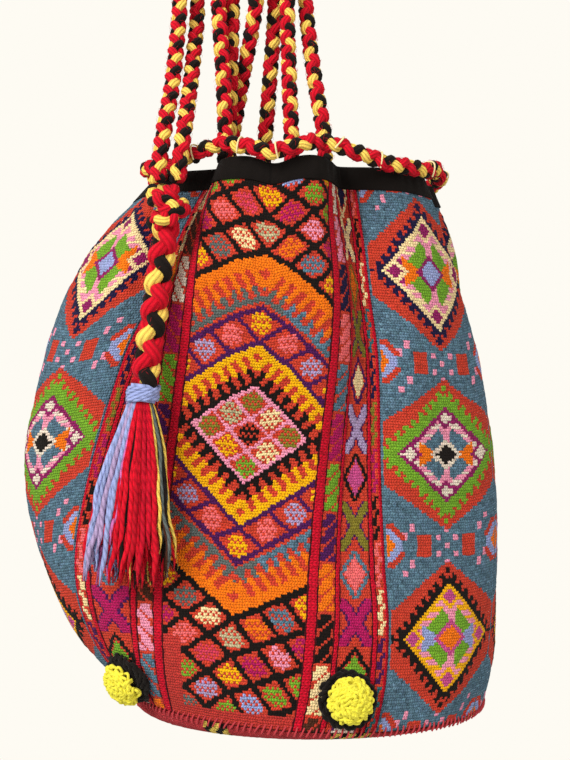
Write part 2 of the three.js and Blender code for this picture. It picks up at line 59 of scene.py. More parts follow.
camera_data = bpy.data.cameras.new("camera")
camera = place_object("camera", camera_data)
camera_data.sensor_fit = "VERTICAL"
camera_data.sensor_height = FILM_HIGH
camera_data.lens = FILM_HIGH * CAMERA_AWAY / (PHOTO_HIGH * SCALE_AT_BAG)
camera_data.clip_end = 20
camera.location = (0, -CAMERA_AWAY * MM, CAMERA_HEIGHT * MM)
camera.rotation_euler = (math.pi / 2, 0, 0)
bpy.context.scene.camera = camera

# Yarn colours, sRGB
YARN = {
    "brick": "c8422e", "crimson": "c20f2b", "black": "17120f", "navy": "1d1840", "yellow": "f8b90a",
    "orange": "f27a12", "lime": "72ad2e", "olive": "7f7c2a", "slate": "55798d", "sky": "94a9dc",
    "plum": "8f2163", "purple": "4b1a57", "pink": "f19bb9", "salmon": "ef7072", "cream": "f6e3a8",
    "ecru": "e8e3d0", "grey": "5c6a68", "brown": "4a2b1c", "magenta": "b01a5f", "mauve": "c4508f",
    "lilac": "a99cc6", "teal": "2d7079", "sage": "b8b58c", "rose": "d2405c", "faded": "b93a33",
    "lemon": "f0e445", "straw": "f3d964", "scarlet": "c90f27", "orchid": "c774b8", "rust": "bd3c42",
    "wine": "4a1218",
}


def linear(code):
    """sRGB hex to linear red, green and blue."""
    parts = [int(code[i : i + 2], 16) / 255 for i in (0, 2, 4)]
    return tuple(c / 12.92 if c <= 0.04045 else ((c + 0.055) / 1.055) ** 2.4 for c in parts)


NAMES = list(YARN)
WARMTH = (1.08, 0.94, 0.90)
LINEAR = np.array([linear(YARN[name]) for name in NAMES]) * WARMTH


def linear_yarn(name):
    return LINEAR[NAMES.index(name)]


# Cloth sizes in millimetres, as the solids have them
STRIP_WIDTH = 102
BAND_GROUP = 66
SIDE_PANEL = 211
FRONT_PANEL = STRIP_WIDTH + 2 * BAND_GROUP
CLOTH_ROUND = 2 * (FRONT_PANEL + SIDE_PANEL)
CLOTH_THICK = 4
SEAM_GAP = 0.3
RIM_HEIGHT = -177
RIM_TILT = 1.5
RIM_WAVE = 5.5
SEAM_HEIGHT = -572
SEAM_TILT = 8
SEAM_TURN = 0.3
FLAT_HEIGHT = -586
BINDING_HIGH = 14
BINDING_THICK = 1.4
BINDING_GAP = 0.7
FOLD_WIDE = 72
BINDING_LEVEL = BINDING_HIGH / (RIM_HEIGHT - SEAM_HEIGHT)
LEVELS = np.array([0, 0.12, 0.22, 0.35, 0.56, 0.72, 0.82, 0.92, 1])
LEFT = [-103, -148, -174, -191, -201, -193, -177, -152, -120]
RIGHT = [117, 136, 144, 155, 165, 165, 163, 161, 153]
MIDDLE = [-9, -12, -14, -19, -29, -35, -37, -39, -41]
RIGHT_FOLD = [34, 30, 24, 15, 8, 3, 0, 0, 0]
LEFT_FOLD = [30, 22, 14, 6, 2, 0, 0, 0, 0]
SIDE_FOLD = [34, 24, 14, 6, 1, 0, 0, 0, 0]
BACK_FOLD = [30, 24, 16, 8, 2, 0, 0, 0, 0]
GATHER = [0.92, 0.97, 1, 1, 1, 1, 1, 0.97, 0.91]
RIGHT_DRAW = [20, 20, 23, 21, 15, 9, 5, 2, 0]
LEFT_DRAW = [30, 30, 29, 15, 0, -9, -10, -6, 0]
DRAW_FROM = 70
DRAW_FULL = FRONT_PANEL / 2 - 4
DRAW_HOLD = 175
CREASE_PLACE = 2  # soft dent in the gathered edge at the front
CREASE_WIDE = 15
CREASE_DEEP = 4
CREASE_LOW = 6
CREASE_FADE = 0.12  # level at which the dent has mostly gone
SECTION_POINTS = 721
HALF = CLOTH_ROUND / 2
GOLDEN = 2.399963  # angle that spreads yarns evenly over a disc


def along(values, level):
    """Smooth curve through one row of the shape table."""
    values = np.asarray(values, float)
    last = len(LEVELS) - 1
    level = min(max(level, 0), 1)
    i = int(np.clip(np.searchsorted(LEVELS, level) - 1, 0, last - 1))
    order = np.arange(last + 1)
    before, after = np.maximum(order - 1, 0), np.minimum(order + 1, last)
    slopes = (values[after] - values[before]) / (LEVELS[after] - LEVELS[before])
    span = LEVELS[i + 1] - LEVELS[i]
    t = (level - LEVELS[i]) / span
    rise = values[i + 1] - values[i]
    ends = t * (1 - t) * ((1 - t) * slopes[i] - t * slopes[i + 1]) * span
    return values[i] + (3 - 2 * t) * t * t * rise + ends


def folds_at(level):
    """Folds pressed into the oval at one level: place, depth and the cloth each flank takes."""
    gather = along(GATHER, level)
    band_middle = (STRIP_WIDTH + BAND_GROUP) / 2
    side_middle = (FRONT_PANEL + SIDE_PANEL) / 2
    places = [band_middle, side_middle, CLOTH_ROUND / 2 - band_middle]
    folds = []
    for side, front in ((1, RIGHT_FOLD), (-1, LEFT_FOLD)):
        used = 0
        for place, table in zip(places, (front, SIDE_FOLD, BACK_FOLD)):
            depth = max(along(table, level), 0)
            flank = math.hypot(FOLD_WIDE / 2, depth) - FOLD_WIDE / 2
            folds.append((side * (place * gather - used - flank), depth, flank))
            used += 2 * flank
    return folds


def oval_depth(half_width, length):
    """Half depth of an oval from its half width and its length round."""
    low, high = 5, length / 2
    for _ in range(40):
        b = (low + high) / 2
        h = ((half_width - b) / (half_width + b)) ** 2
        if math.pi * (half_width + b) * (1 + 3 * h / (10 + math.sqrt(4 - 3 * h))) < length:
            low = b
        else:
            high = b
    return (low + high) / 2


def level_section(level, share, places):
    """Points of one level at places around the cloth: x and y."""
    left, right = along(LEFT, level), along(RIGHT, level)
    folds = folds_at(level)
    half, centre = (right - left) / 2, (right + left) / 2
    taken = sum(2 * flank for _, _, flank in folds)
    deep = oval_depth(half, CLOTH_ROUND * along(GATHER, level) - taken)
    angle = math.asin((along(MIDDLE, level) - centre) / half) + np.linspace(0, 2 * math.pi, SECTION_POINTS)
    x, y = centre + half * np.sin(angle), -deep * np.cos(angle)
    arc = np.concatenate(([0], np.cumsum(np.hypot(np.diff(x), np.diff(y)))))
    press = np.zeros_like(arc)
    for at, depth, _ in folds:
        away = np.abs(arc - at) % arc[-1]
        away = np.minimum(away, arc[-1] - away)
        fold = share * depth * np.cos(math.pi * away / FOLD_WIDE) ** 2
        press += np.where(away < FOLD_WIDE / 2, fold, 0)
    nx, ny = deep * np.sin(angle), -half * np.cos(angle)
    long = np.hypot(nx, ny)
    x, y = x - press * nx / long, y - press * ny / long
    arc = np.concatenate(([0], np.cumsum(np.hypot(np.diff(x), np.diff(y)))))
    target = np.mod(places, CLOTH_ROUND) / CLOTH_ROUND * arc[-1]
    return np.interp(target, arc, x), np.interp(target, arc, y)


def rim_height(u):
    turn = 2 * math.pi * np.asarray(u) / CLOTH_ROUND
    return RIM_HEIGHT - RIM_TILT * np.cos(turn) + RIM_WAVE * np.cos(2 * turn)


def seam_height(u):
    return SEAM_HEIGHT - SEAM_TILT * np.sin(2 * math.pi * np.asarray(u) / CLOTH_ROUND + SEAM_TURN)


def drawn(u, level):
    """Where a place of the woven panels lies once the front folds have taken up their cloth."""
    turn = np.mod(u, CLOTH_ROUND)
    right = turn < CLOTH_ROUND / 2
    away = np.where(right, turn, CLOTH_ROUND - turn)
    back_seam = (CLOTH_ROUND - FRONT_PANEL) / 2
    grown = (away - DRAW_FROM) / (DRAW_FULL - DRAW_FROM)
    share = np.clip(np.minimum(grown, (back_seam - away) / (back_seam - DRAW_HOLD)), 0, 1)
    level = max(level, BINDING_LEVEL)
    return u - share * np.where(right, along(RIGHT_DRAW, level), -along(LEFT_DRAW, level))


def cloth_grid(places, levels, share=1, panels=False):
    """Points of the cloth's outer face, levels by places; panels are drawn into the folds."""
    rows = []
    for level in levels:
        u = np.asarray(places, float)
        u = drawn(u, level) if panels else u
        x, y = level_section(level, share, u)
        z = rim_height(u) * (1 - level) + seam_height(u) * level
        if panels:
            away = np.mod(u - CREASE_PLACE + HALF, CLOTH_ROUND) - HALF
            dent = np.exp(-((away / CREASE_WIDE) ** 2) - level / CREASE_FADE)
            y, z = y + CREASE_DEEP * dent, z - CREASE_LOW * dent
        rows.append(np.stack([x, y, z], -1))
    return np.array(rows)


def unit(vectors):
    return vectors / np.linalg.norm(vectors, axis=-1, keepdims=True)


def grid_out(grid):
    """Directions out of a grid of points whose rows go down and columns to the right."""
    return unit(np.cross(np.gradient(grid, axis=0), np.gradient(grid, axis=1)))


def rim_frame(places, level, share=1, panels=False):
    """Points around one level and the level directions out of them; places go right round."""
    points = cloth_grid(places, [level], share, panels)[0]
    across = np.roll(points, -1, 0) - np.roll(points, 1, 0)
    return points, unit(np.stack([across[:, 1], -across[:, 0], 0 * across[:, 0]], -1))


def cloth_at(u, level):
    """One place on the cloth: its point and the direction out."""
    grid = cloth_grid([u - 1.5, u, u + 1.5], [level - 0.01, level, level + 0.01])
    return grid[1, 1], grid_out(grid)[1, 1]


# Making pieces
def grid_faces(rows, columns, wrap_rows=False, wrap_columns=False):
    """Quads of a grid of points counted row by row; a wrapped side joins up with the first one."""
    i, k = np.meshgrid(np.arange(rows if wrap_rows else rows - 1),
                       np.arange(columns if wrap_columns else columns - 1), indexing="ij")
    n, m = (i + 1) % rows, (k + 1) % columns
    corners = [i * columns + k, n * columns + k, n * columns + m, i * columns + m]
    return np.stack(corners, -1).reshape(-1, 4)


def turned_over(quads):
    """The same quads facing the other way, each from the same first corner."""
    return quads[:, [0, 3, 2, 1]]


def mesh_piece(name, points, faces, material, body="bag"):
    """A piece from points in millimetres and faces, riding on its body."""
    mesh = bpy.data.meshes.new(name)
    mesh.from_pydata((np.asarray(points) * MM).tolist(), [], faces)
    mesh.materials.append(material)
    mesh.polygons.foreach_set("use_smooth", [True] * len(mesh.polygons))
    mesh.update()
    piece = place_object(name, mesh)
    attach(piece, body)
    return piece


def paint_faces(piece, colours):
    """Colour of each face, linear, as a corner attribute named yarn."""
    mesh = piece.data
    layer = mesh.color_attributes.new("yarn", "FLOAT_COLOR", "CORNER")
    sizes = np.empty(len(mesh.polygons), int)
    mesh.polygons.foreach_get("loop_total", sizes)
    corners = np.repeat(np.asarray(colours), sizes, axis=0)
    layer.data.foreach_set("color", np.column_stack([corners, np.ones(len(corners))]).ravel())


def lay_uv(piece, corners):
    """UV map named thread, from one pair of numbers for each corner."""
    layer = piece.data.uv_layers.new(name="thread")
    layer.data.foreach_set("uv", np.asarray(corners, float).ravel())


def corner_uv(piece, uv_of_points):
    """One pair of numbers for each corner from those of the points."""
    corners = np.empty(len(piece.data.loops), int)
    piece.data.loops.foreach_get("vertex_index", corners)
    return np.asarray(uv_of_points)[corners]


# Materials
def node(tree, kind, settings=None, **links):
    """Add one shader or geometry node with its settings and what feeds its inputs."""
    made = tree.nodes.new(kind)
    for key, value in (settings or {}).items():
        setattr(made, key, value)
    for key, value in links.items():
        socket = made.inputs[int(key[1:]) if key[1:].isdigit() else key.replace("_", " ")]
        if isinstance(value, bpy.types.Node):
            value = value.outputs[0]
        if isinstance(value, bpy.types.NodeSocket):
            tree.links.new(value, socket)
        else:
            socket.default_value = value
    return made


MATH = "ShaderNodeMath"
ADD = {"operation": "ADD"}
LESS = {"operation": "SUBTRACT"}
TIMES = {"operation": "MULTIPLY"}
TIMES_ADD = {"operation": "MULTIPLY_ADD"}
PART = {"operation": "FRACT"}
BACK_AND_FORTH = {"operation": "PINGPONG"}
SPECULAR = 0.12  # dry wool and cotton hardly shine


def new_material(name, roughness, sheen=0.0):
    """A material with a matt shader: its tree and its shader."""
    material = bpy.data.materials.new(name)
    material.use_nodes = True
    tree = material.node_tree
    tree.nodes.clear()
    shader = node(tree, "ShaderNodeBsdfPrincipled", Roughness=roughness, Sheen_Weight=sheen)
    shader.inputs["Specular IOR Level"].default_value = SPECULAR
    node(tree, "ShaderNodeOutputMaterial", Surface=shader)
    return material, tree, shader


def thread_place(tree):
    """Thread coordinates of the mesh: across the yarns and along them."""
    split = node(tree, "ShaderNodeSeparateXYZ", Vector=node(tree, "ShaderNodeUVMap", {"uv_map": "thread"}))
    return split.outputs[0], split.outputs[1]


def wool_noise(tree, fine, detail, coarse=None):
    """Noise as fine as fibres and, where asked for, a coarse one for patches."""
    place = node(tree, "ShaderNodeTexCoord").outputs["Object"]
    fibre = node(tree, "ShaderNodeTexNoise", Vector=place, Scale=fine, Detail=detail)
    if coarse is None:
        return fibre, None
    return fibre, node(tree, "ShaderNodeTexNoise", Vector=place, Scale=coarse, Detail=2.0)


def shade_and_bump(tree, shader, colour, relief, shades, patch, height, deep):
    """Darken the colour where the relief is low, as painted shade in its hollows, vary it by patches, and
    raise the surface by a height, deep in metres.
    """
    contrast, darkest, patchy = shades
    # painted shade: the colour darkens where the relief is low
    shade = node(tree, MATH, TIMES_ADD, i0=relief, i1=contrast, i2=darkest)
    if patch:
        shade = node(tree, MATH, TIMES_ADD, i0=patch, i1=patchy, i2=shade)
    grey = node(tree, "ShaderNodeCombineColor", Red=shade, Green=shade, Blue=shade)
    blend = {"data_type": "RGBA", "blend_type": "MULTIPLY"}
    mixed = node(tree, "ShaderNodeMix", blend, i0=1.0, i6=colour, i7=grey)
    bump = node(tree, "ShaderNodeBump", Strength=1.0, Distance=deep, Height=height)
    tree.links.new(mixed.outputs[2], shader.inputs["Base Color"])
    tree.links.new(bump.outputs[0], shader.inputs["Normal"])


def woven_wool():
    """Wool kilim with raised brocade: each stitch is a slanted bead of soft two-ply yarn, with painted shade
    darkening it towards its edges.
    """
    material, tree, shader = new_material("woven_wool", 0.95, 0.02)
    yarn = node(tree, "ShaderNodeVertexColor", {"layer_name": "yarn"})
    across, down = thread_place(tree)
    wind = node(tree, MATH, BACK_AND_FORTH, i0=down, i1=1.0)
    slant = node(tree, MATH, TIMES_ADD, i0=wind, i1=0.5, i2=across)
    squares = []
    for way in (slant, down):
        off = node(tree, MATH, LESS, i0=node(tree, MATH, PART, i0=way), i1=0.5)
        squares.append(node(tree, MATH, TIMES, i0=off, i1=off))
    edge = node(tree, MATH, ADD, i0=squares[0], i1=squares[1])
    bead = node(tree, MATH, TIMES_ADD, i0=edge, i1=-2.4, i2=1.0)
    fibre, patch = wool_noise(tree, 1500.0, 3.0, 240.0)
    height = node(tree, MATH, TIMES_ADD, i0=fibre, i1=0.6, i2=bead)
    # painted shade: each bead darkens towards its edges, between the stitches
    shade_and_bump(tree, shader, yarn, bead, (0.52, 0.40, 0.38), patch, height, 0.0011)
    return material


def spun_yarn():
    """Soft spun wool in cords, fringe and wraps: plies wind round the strand, with painted shade between
    them, and loose fibres.
    """
    material, tree, shader = new_material("spun_yarn", 0.9, 0.03)
    yarn = node(tree, "ShaderNodeVertexColor", {"layer_name": "yarn"})
    across, down = thread_place(tree)
    ply = node(tree, MATH, BACK_AND_FORTH, i0=node(tree, MATH, ADD, i0=across, i1=down), i1=0.5)
    ridge = node(tree, MATH, TIMES, i0=ply, i1=2.0)
    ridge = node(tree, MATH, {"operation": "POWER"}, i0=ridge, i1=0.6)
    fibre, patch = wool_noise(tree, 1100.0, 4.0, 180.0)
    height = node(tree, MATH, TIMES_ADD, i0=fibre, i1=0.9, i2=ridge)
    # painted shade: darker in the grooves between the plies
    shade_and_bump(tree, shader, yarn, ridge, (0.50, 0.42, 0.36), patch, height, 0.0008)
    return material


def fluffy_yarn(name, colour):
    """Soft wool of one colour in pompoms, stitches, tacks and loose fibres: mottled, with painted shade where
    its fibre bumps are low, fuzzy at its edge.
    """
    material, tree, shader = new_material(name, 0.95, 0.06)
    fibre, patch = wool_noise(tree, 1300.0, 4.0, 220.0)
    colour = (*linear(YARN[colour]), 1)
    # painted shade: darker where the fibre bumps are low
    shade_and_bump(tree, shader, colour, fibre, (0.30, 0.62, 0.40), patch, fibre, 0.0006)
    return material


def black_twill():
    """Black cotton tape of the binding: dull, with fine diagonal ribs 1.3 mm apart and painted shade in the
    grooves between them.
    """
    material, tree, shader = new_material("black_twill", 0.9, 0.0)
    across, down = thread_place(tree)
    rib = node(tree, MATH, BACK_AND_FORTH, i0=node(tree, MATH, ADD, i0=across, i1=down), i1=0.65)
    fibre, _ = wool_noise(tree, 900.0, 4.0)
    height = node(tree, MATH, TIMES_ADD, i0=fibre, i1=0.8, i2=rib)
    # painted shade: darker in the grooves between the ribs
    shade_and_bump(tree, shader, (*linear("16110e"), 1), height, (0.5, 0.5, 0), None, height, 0.0004)
    return material


WOOL = woven_wool()
YARN_CORD = spun_yarn()
YELLOW_FLUFF = fluffy_yarn("yellow_pompom_yarn", "lemon")
BLACK_FLUFF = fluffy_yarn("black_pompom_yarn", "black")
TWILL = black_twill()
TACK_THREAD = fluffy_yarn("cream_tack_thread", "cream")
SEAM_THREAD = fluffy_yarn("red_seam_thread", "rust")


# Paths of cords and yarns
def smooth_path(route, step):
    """Smooth path through a cord's points, at even steps, as the solids' cords follow it."""
    p = np.asarray(route, float)
    p = np.vstack([2 * p[0] - p[1], p, 2 * p[-1] - p[-2]])
    points = []
    for i in range(1, len(p) - 2):
        four = p[i - 1 : i + 3]
        k = np.concatenate([[0], np.cumsum(np.linalg.norm(np.diff(four, axis=0), axis=1) ** 0.5)])
        t = np.linspace(k[1], k[2], 24, endpoint=i == len(p) - 3)[:, None]

        def mix(a, b, start, end):
            return (a * (end - t) + b * (t - start)) / (end - start)

        first, second, third = (mix(four[n], four[n + 1], k[n], k[n + 1]) for n in range(3))
        fourth, fifth = mix(first, second, k[0], k[2]), mix(second, third, k[1], k[3])
        points.append(mix(fourth, fifth, k[1], k[2]))
    return evenly(np.vstack(points), step)


def evenly(path, step, closed=False):
    if closed:
        path = np.vstack([path, path[:1]])
    run = run_along(path)
    places = np.linspace(0, run[-1], max(2, round(run[-1] / step)) + 1)
    made = np.stack([np.interp(places, run, path[:, axis]) for axis in range(3)], -1)
    return made[:-1] if closed else made


def run_along(path):
    return np.concatenate([[0], np.cumsum(np.linalg.norm(np.diff(path, axis=0), axis=1))])


def frames(path, closed=False, start=(0.3, 1, 0.2)):
    """Directions along a path and two square to it that turn as little as they can."""
    tangent = np.roll(path, -1, 0) - np.roll(path, 1, 0) if closed else np.gradient(path, axis=0)
    tangent = unit(tangent)
    side = np.empty_like(path)
    now = np.asarray(start, float)
    for k, t in enumerate(tangent):
        now = now - t * np.dot(now, t)
        now = now / np.linalg.norm(now)
        side[k] = now
    if closed:
        last = side[-1] - tangent[0] * np.dot(side[-1], tangent[0])
        off = math.atan2(np.dot(np.cross(side[0], last), tangent[0]), np.dot(side[0], last))
        turn = -off * np.arange(len(path)) / len(path)
        up = np.cross(tangent, side)
        side = side * np.cos(turn)[:, None] + up * np.sin(turn)[:, None]
    return tangent, side, np.cross(tangent, side)


class Yarns:
    """Tubes of yarn gathered into one mesh, with their colours and thread coordinates."""

    def __init__(self):
        self.points, self.faces, self.uv, self.colours = [], [], [], []
        self.count = 0

    def add(self, path, radius, colour, sides=8, closed=False, plies=7, twist=0.06):
        _, side, up = frames(path, closed)
        count = len(path)
        radius = np.broadcast_to(radius, (count,))
        turn = np.linspace(0, 2 * math.pi, sides, endpoint=False)
        ring = side[:, None] * np.cos(turn)[None, :, None] + up[:, None] * np.sin(turn)[None, :, None]
        self.points.append((path[:, None] + ring * radius[:, None, None]).reshape(-1, 3))
        quads = turned_over(grid_faces(count, sides, closed, True))
        i, k = np.divmod(quads[:, 0], sides)
        self.faces += (quads + self.count).tolist()
        run = np.append(run_along(path), run_along(path)[-1] + np.linalg.norm(path[0] - path[-1]))
        u = np.stack([k, k + 1, k + 1, k], -1) * plies / sides
        v = np.stack([run[i], run[i], run[i + 1], run[i + 1]], -1) * twist
        self.uv.append(np.stack([u, v], -1).reshape(-1, 2))
        shade = linear_yarn(colour) if isinstance(colour, str) else np.asarray(colour)
        made = len(quads)
        if not closed:
            self.faces += [(np.arange(sides)[::-1] + self.count).tolist(),
                           (np.arange(sides) + self.count + (count - 1) * sides).tolist()]
            self.uv.append(np.zeros((2 * sides, 2)))
            made += 2
        self.colours.append(np.tile(shade, (made, 1)))
        self.count += count * sides

    def piece(self, name, material, slot, body="bag"):
        made = mesh_piece(name, np.concatenate(self.points), self.faces, material, body)
        paint_faces(made, np.concatenate(self.colours))
        lay_uv(made, np.concatenate(self.uv))
        return made


BRAID_REACH = 0.20  # shares of the braid's width: strand from the middle, crossing, strand radius
BRAID_CROSS = 0.085
BRAID_STRAND = 0.235
PATH_STEP = 1.6


def braid(yarns, path, wide, pitch, colours, closed=False):
    """Round braid of four strands: seen from the front, long lobes slant in from both edges by turns."""
    _, deep, across = frames(path, closed, (0.1, 1, 0.05))
    run = run_along(path)
    whole = run[-1] + (np.linalg.norm(path[0] - path[-1]) if closed else 0)
    if closed:
        pitch = whole / round(whole / pitch)
    turn = 2 * math.pi * run / pitch
    for k, colour in enumerate(colours):
        way = 1 if k < 2 else -1
        angle = way * turn + math.pi * (k % 2) + math.pi / 4
        over = way * np.cos(2 * turn)
        outward = deep * np.cos(angle)[:, None] + across * np.sin(angle)[:, None]
        centre = path + outward * (wide * (BRAID_REACH + BRAID_CROSS * over))[:, None]
        swell = 1 + 0.12 * over + (0 if closed else 0.04) * np.sin(run * 0.37 + 3 * k)
        yarns.add(centre, wide * BRAID_STRAND * swell, colour, 10, closed)


# Strap loops, in millimetres: they hang from the origin and close above the picture
STRAP_WIDE = 12.5
BRAID_PITCH = 25.0
BRAID_YARNS = ["scarlet", "straw", "black", "scarlet"]
STRAPS = [
    [(-90.5, -106.3, -190.7), (-87, -88, -150), (-83.4, -66, -117), (-80, -32, -50), (-79.8, -30, -22),
     (-75.6, -30, -6), (-65.4, -30, 0), (-55.1, -30, -6), (-51, -30, -22),
     (-50.5, -32, -45), (-46, -55, -104), (-44, -67, -147), (-44, -71, -172)],
    [(-76.3, -104.5, -190), (-73, -95, -158), (-70, -56, -110), (-67.5, -16, -50), (-67, -14, -22),
     (-63, -14, -6), (-53.7, -14, 0), (-44.4, -14, -6), (-40.4, -14, -22),
     (-40.4, -19, -45), (-41, -39.5, -104), (-41.5, -53, -147), (-42.5, -57.8, -172)],
    [(-42.5, -44.6, -172), (-40, -39, -150), (-32, -26, -100), (-22, -29, -45), (-20.5, -30, -20),
     (-17.3, -30, -5), (-9.5, -30, 0), (-1.7, -30, -5), (1.5, -30, -20),
     (1.6, -33, -45), (3, -50, -104), (4.5, -66, -147), (5, -71, -172)],
    [(-17, -34, -172), (-15, -30, -147), (-11.5, -22, -100), (-7.8, -15, -45), (-7.6, -14, -20),
     (-4.3, -14, -5), (3.9, -14, 0), (12, -14, -5), (15.3, -14, -20),
     (16, -18, -45), (22, -44, -104), (28, -64.3, -147), (30, -71.4, -172)],
]
strap_paths = []
for number, route in enumerate(STRAPS, 1):
    path = smooth_path(route, PATH_STEP)
    strap_paths.append(path)
    yarns = Yarns()
    braid(yarns, path, STRAP_WIDE, BRAID_PITCH, BRAID_YARNS[number % 4 :] + BRAID_YARNS[: number % 4])
    strap = yarns.piece(f"strap_braid_{number}", YARN_CORD, "braided_yarn")
    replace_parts(strap, f"strap_loop_{number}")

# Braided cord in waves along the rim
RIM_CORD_WIDE = 12.5
RIM_CORD_BRIDGE = 0.15
RIM_CORD_GAP = 1.8
RIM_CORD_WAVE = np.array([
    [0, 0.1], [18, 0.3], [45, 0.85], [80, 0.35], [115, 0.1], [150, 0.15], [185, 0.5], [225, 0.95],
    [265, 0.5], [305, 0.15], [345, 0.6], [385, 0.95], [425, 0.5], [460, 0.15], [500, 0.6], [540, 0.95],
    [580, 0.4], [620, 0.1], [660, 0.5], [700, 0.9], [740, 0.45], [775, 0.15], [810, 0.4], [840, 0.85],
    [868, 0.4], [CLOTH_ROUND, 0.1],
])


rim_places = np.arange(0, CLOTH_ROUND, 1.0)
rim_points, rim_out = rim_frame(rim_places, 0, RIM_CORD_BRIDGE)
wave_at, wave_high = RIM_CORD_WAVE.T
wave = np.clip(np.searchsorted(wave_at, rim_places, side="right") - 1, 0, len(RIM_CORD_WAVE) - 2)
part = (rim_places - wave_at[wave]) / (wave_at[wave + 1] - wave_at[wave])
climb = wave_high[wave] + (wave_high[wave + 1] - wave_high[wave]) * part**2 * (3 - 2 * part)
cord_reach = CLOTH_THICK / 2 + BINDING_THICK + BINDING_GAP + RIM_CORD_GAP + RIM_CORD_WIDE / 2
rim_cord_path = rim_points + rim_out * (cord_reach * np.cos(climb * math.pi / 2) - CLOTH_THICK / 2)[:, None]
rim_cord_path[:, 2] += cord_reach * np.sin(climb * math.pi / 2)
yarns = Yarns()
rim_loop = evenly(rim_cord_path, PATH_STEP, closed=True)
braid(yarns, rim_loop, RIM_CORD_WIDE, BRAID_PITCH, BRAID_YARNS, closed=True)
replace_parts(yarns.piece("rim_braid", YARN_CORD, "braided_yarn"), "rim_cord")

# Tassel: knot, thick braid, tie and skirt
KNOT_MIDDLE = np.array([-82.759, -103.594, -209.968])
KNOT_RADIUS = 17
KNOT_LOOP_WIDE = 13.5
KNOT_CORE_WIDE = 16
KNOT_CORE_PITCH = 26
TASSEL_LEAN = 6
TASSEL_SLANT = -14
TASSEL_CORD_WIDE = 20
TASSEL_BRAID_PITCH = 40
TASSEL_CORD_LONG = 106
TIE_WIDE = 24
TIE_HIGH = 12
TIE_TURNS = 5
TIE_YARN_RADIUS = 1.45
TIE_CORE_RADIUS = 9.5
SKIRT_LONG = 136
SKIRT_WIDE = 70
SKIRT_THICK = 26
SKIRT_DRIFT = 12
SKIRT_LEAN = 1
SKIRT_YARNS = 150


def hang_point(z):
    below = (KNOT_MIDDLE[2] - z) / TASSEL_CORD_LONG
    return np.array([KNOT_MIDDLE[0] + TASSEL_SLANT * below, KNOT_MIDDLE[1] - TASSEL_LEAN * below, z])


turns = np.linspace(0, 2 * math.pi, 60, endpoint=False)
yarns = Yarns()
for lean, drop, phase in (((0.42, -0.25, 0.87), 4.2, 0), ((-0.5, -0.3, 0.81), -4.2, 1)):
    axis = np.array(lean) / np.linalg.norm(lean)
    first = unit(np.cross(axis, (0, 1, 0)))
    second = np.cross(axis, first)
    loop = first * np.cos(turns)[:, None] + second * np.sin(turns)[:, None]
    ring = KNOT_MIDDLE + (0, 0, drop) + loop * (KNOT_RADIUS - 6.6)
    strands = BRAID_YARNS[phase:] + BRAID_YARNS[:phase]
    braid(yarns, evenly(ring, 1.4, True), KNOT_LOOP_WIDE, BRAID_PITCH, strands, True)
core = np.array([KNOT_MIDDLE + (0, 0, h) for h in np.arange(15, -16.1, -1.5)])
braid(yarns, core, KNOT_CORE_WIDE, KNOT_CORE_PITCH, BRAID_YARNS)
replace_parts(yarns.piece("knot_wraps", YARN_CORD, "braided_yarn", "tassel"), "tassel_knot")

cord_top = KNOT_MIDDLE[2] - KNOT_RADIUS
cord_foot = cord_top - SEAM_GAP - TASSEL_CORD_LONG
yarns = Yarns()
tassel_path = np.array([hang_point(z) for z in np.arange(cord_top + 4, cord_foot - 3, -1.8)])
braid(yarns, tassel_path, TASSEL_CORD_WIDE, TASSEL_BRAID_PITCH, BRAID_YARNS)
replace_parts(yarns.piece("tassel_braid", YARN_CORD, "braided_yarn", "tassel"), "tassel_cord")

tie_top = cord_foot - 1.7
yarns = Yarns()
t = np.linspace(0, 1, TIE_TURNS * 30)
turn = 2 * math.pi * TIE_TURNS * t
heights = tie_top - 1.4 - t * (TIE_HIGH - 2.8)
tie_path = np.array([hang_point(z) for z in heights])
reach = TIE_WIDE / 2 - 1.5 + 0.4 * np.sin(3.3 * turn)
tie_path += np.stack([reach * np.cos(turn), reach * np.sin(turn), 0.5 * np.sin(2.1 * turn)], -1)
yarns.add(tie_path, TIE_YARN_RADIUS, "sky", 8, plies=2, twist=0.16)
core = np.array([hang_point(z) for z in np.linspace(tie_top, tie_top - TIE_HIGH, 6)])
yarns.add(core, TIE_CORE_RADIUS, "sky", 14)
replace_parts(yarns.piece("tie_wraps", YARN_CORD, "tie_yarn", "tassel"), "tassel_tie")

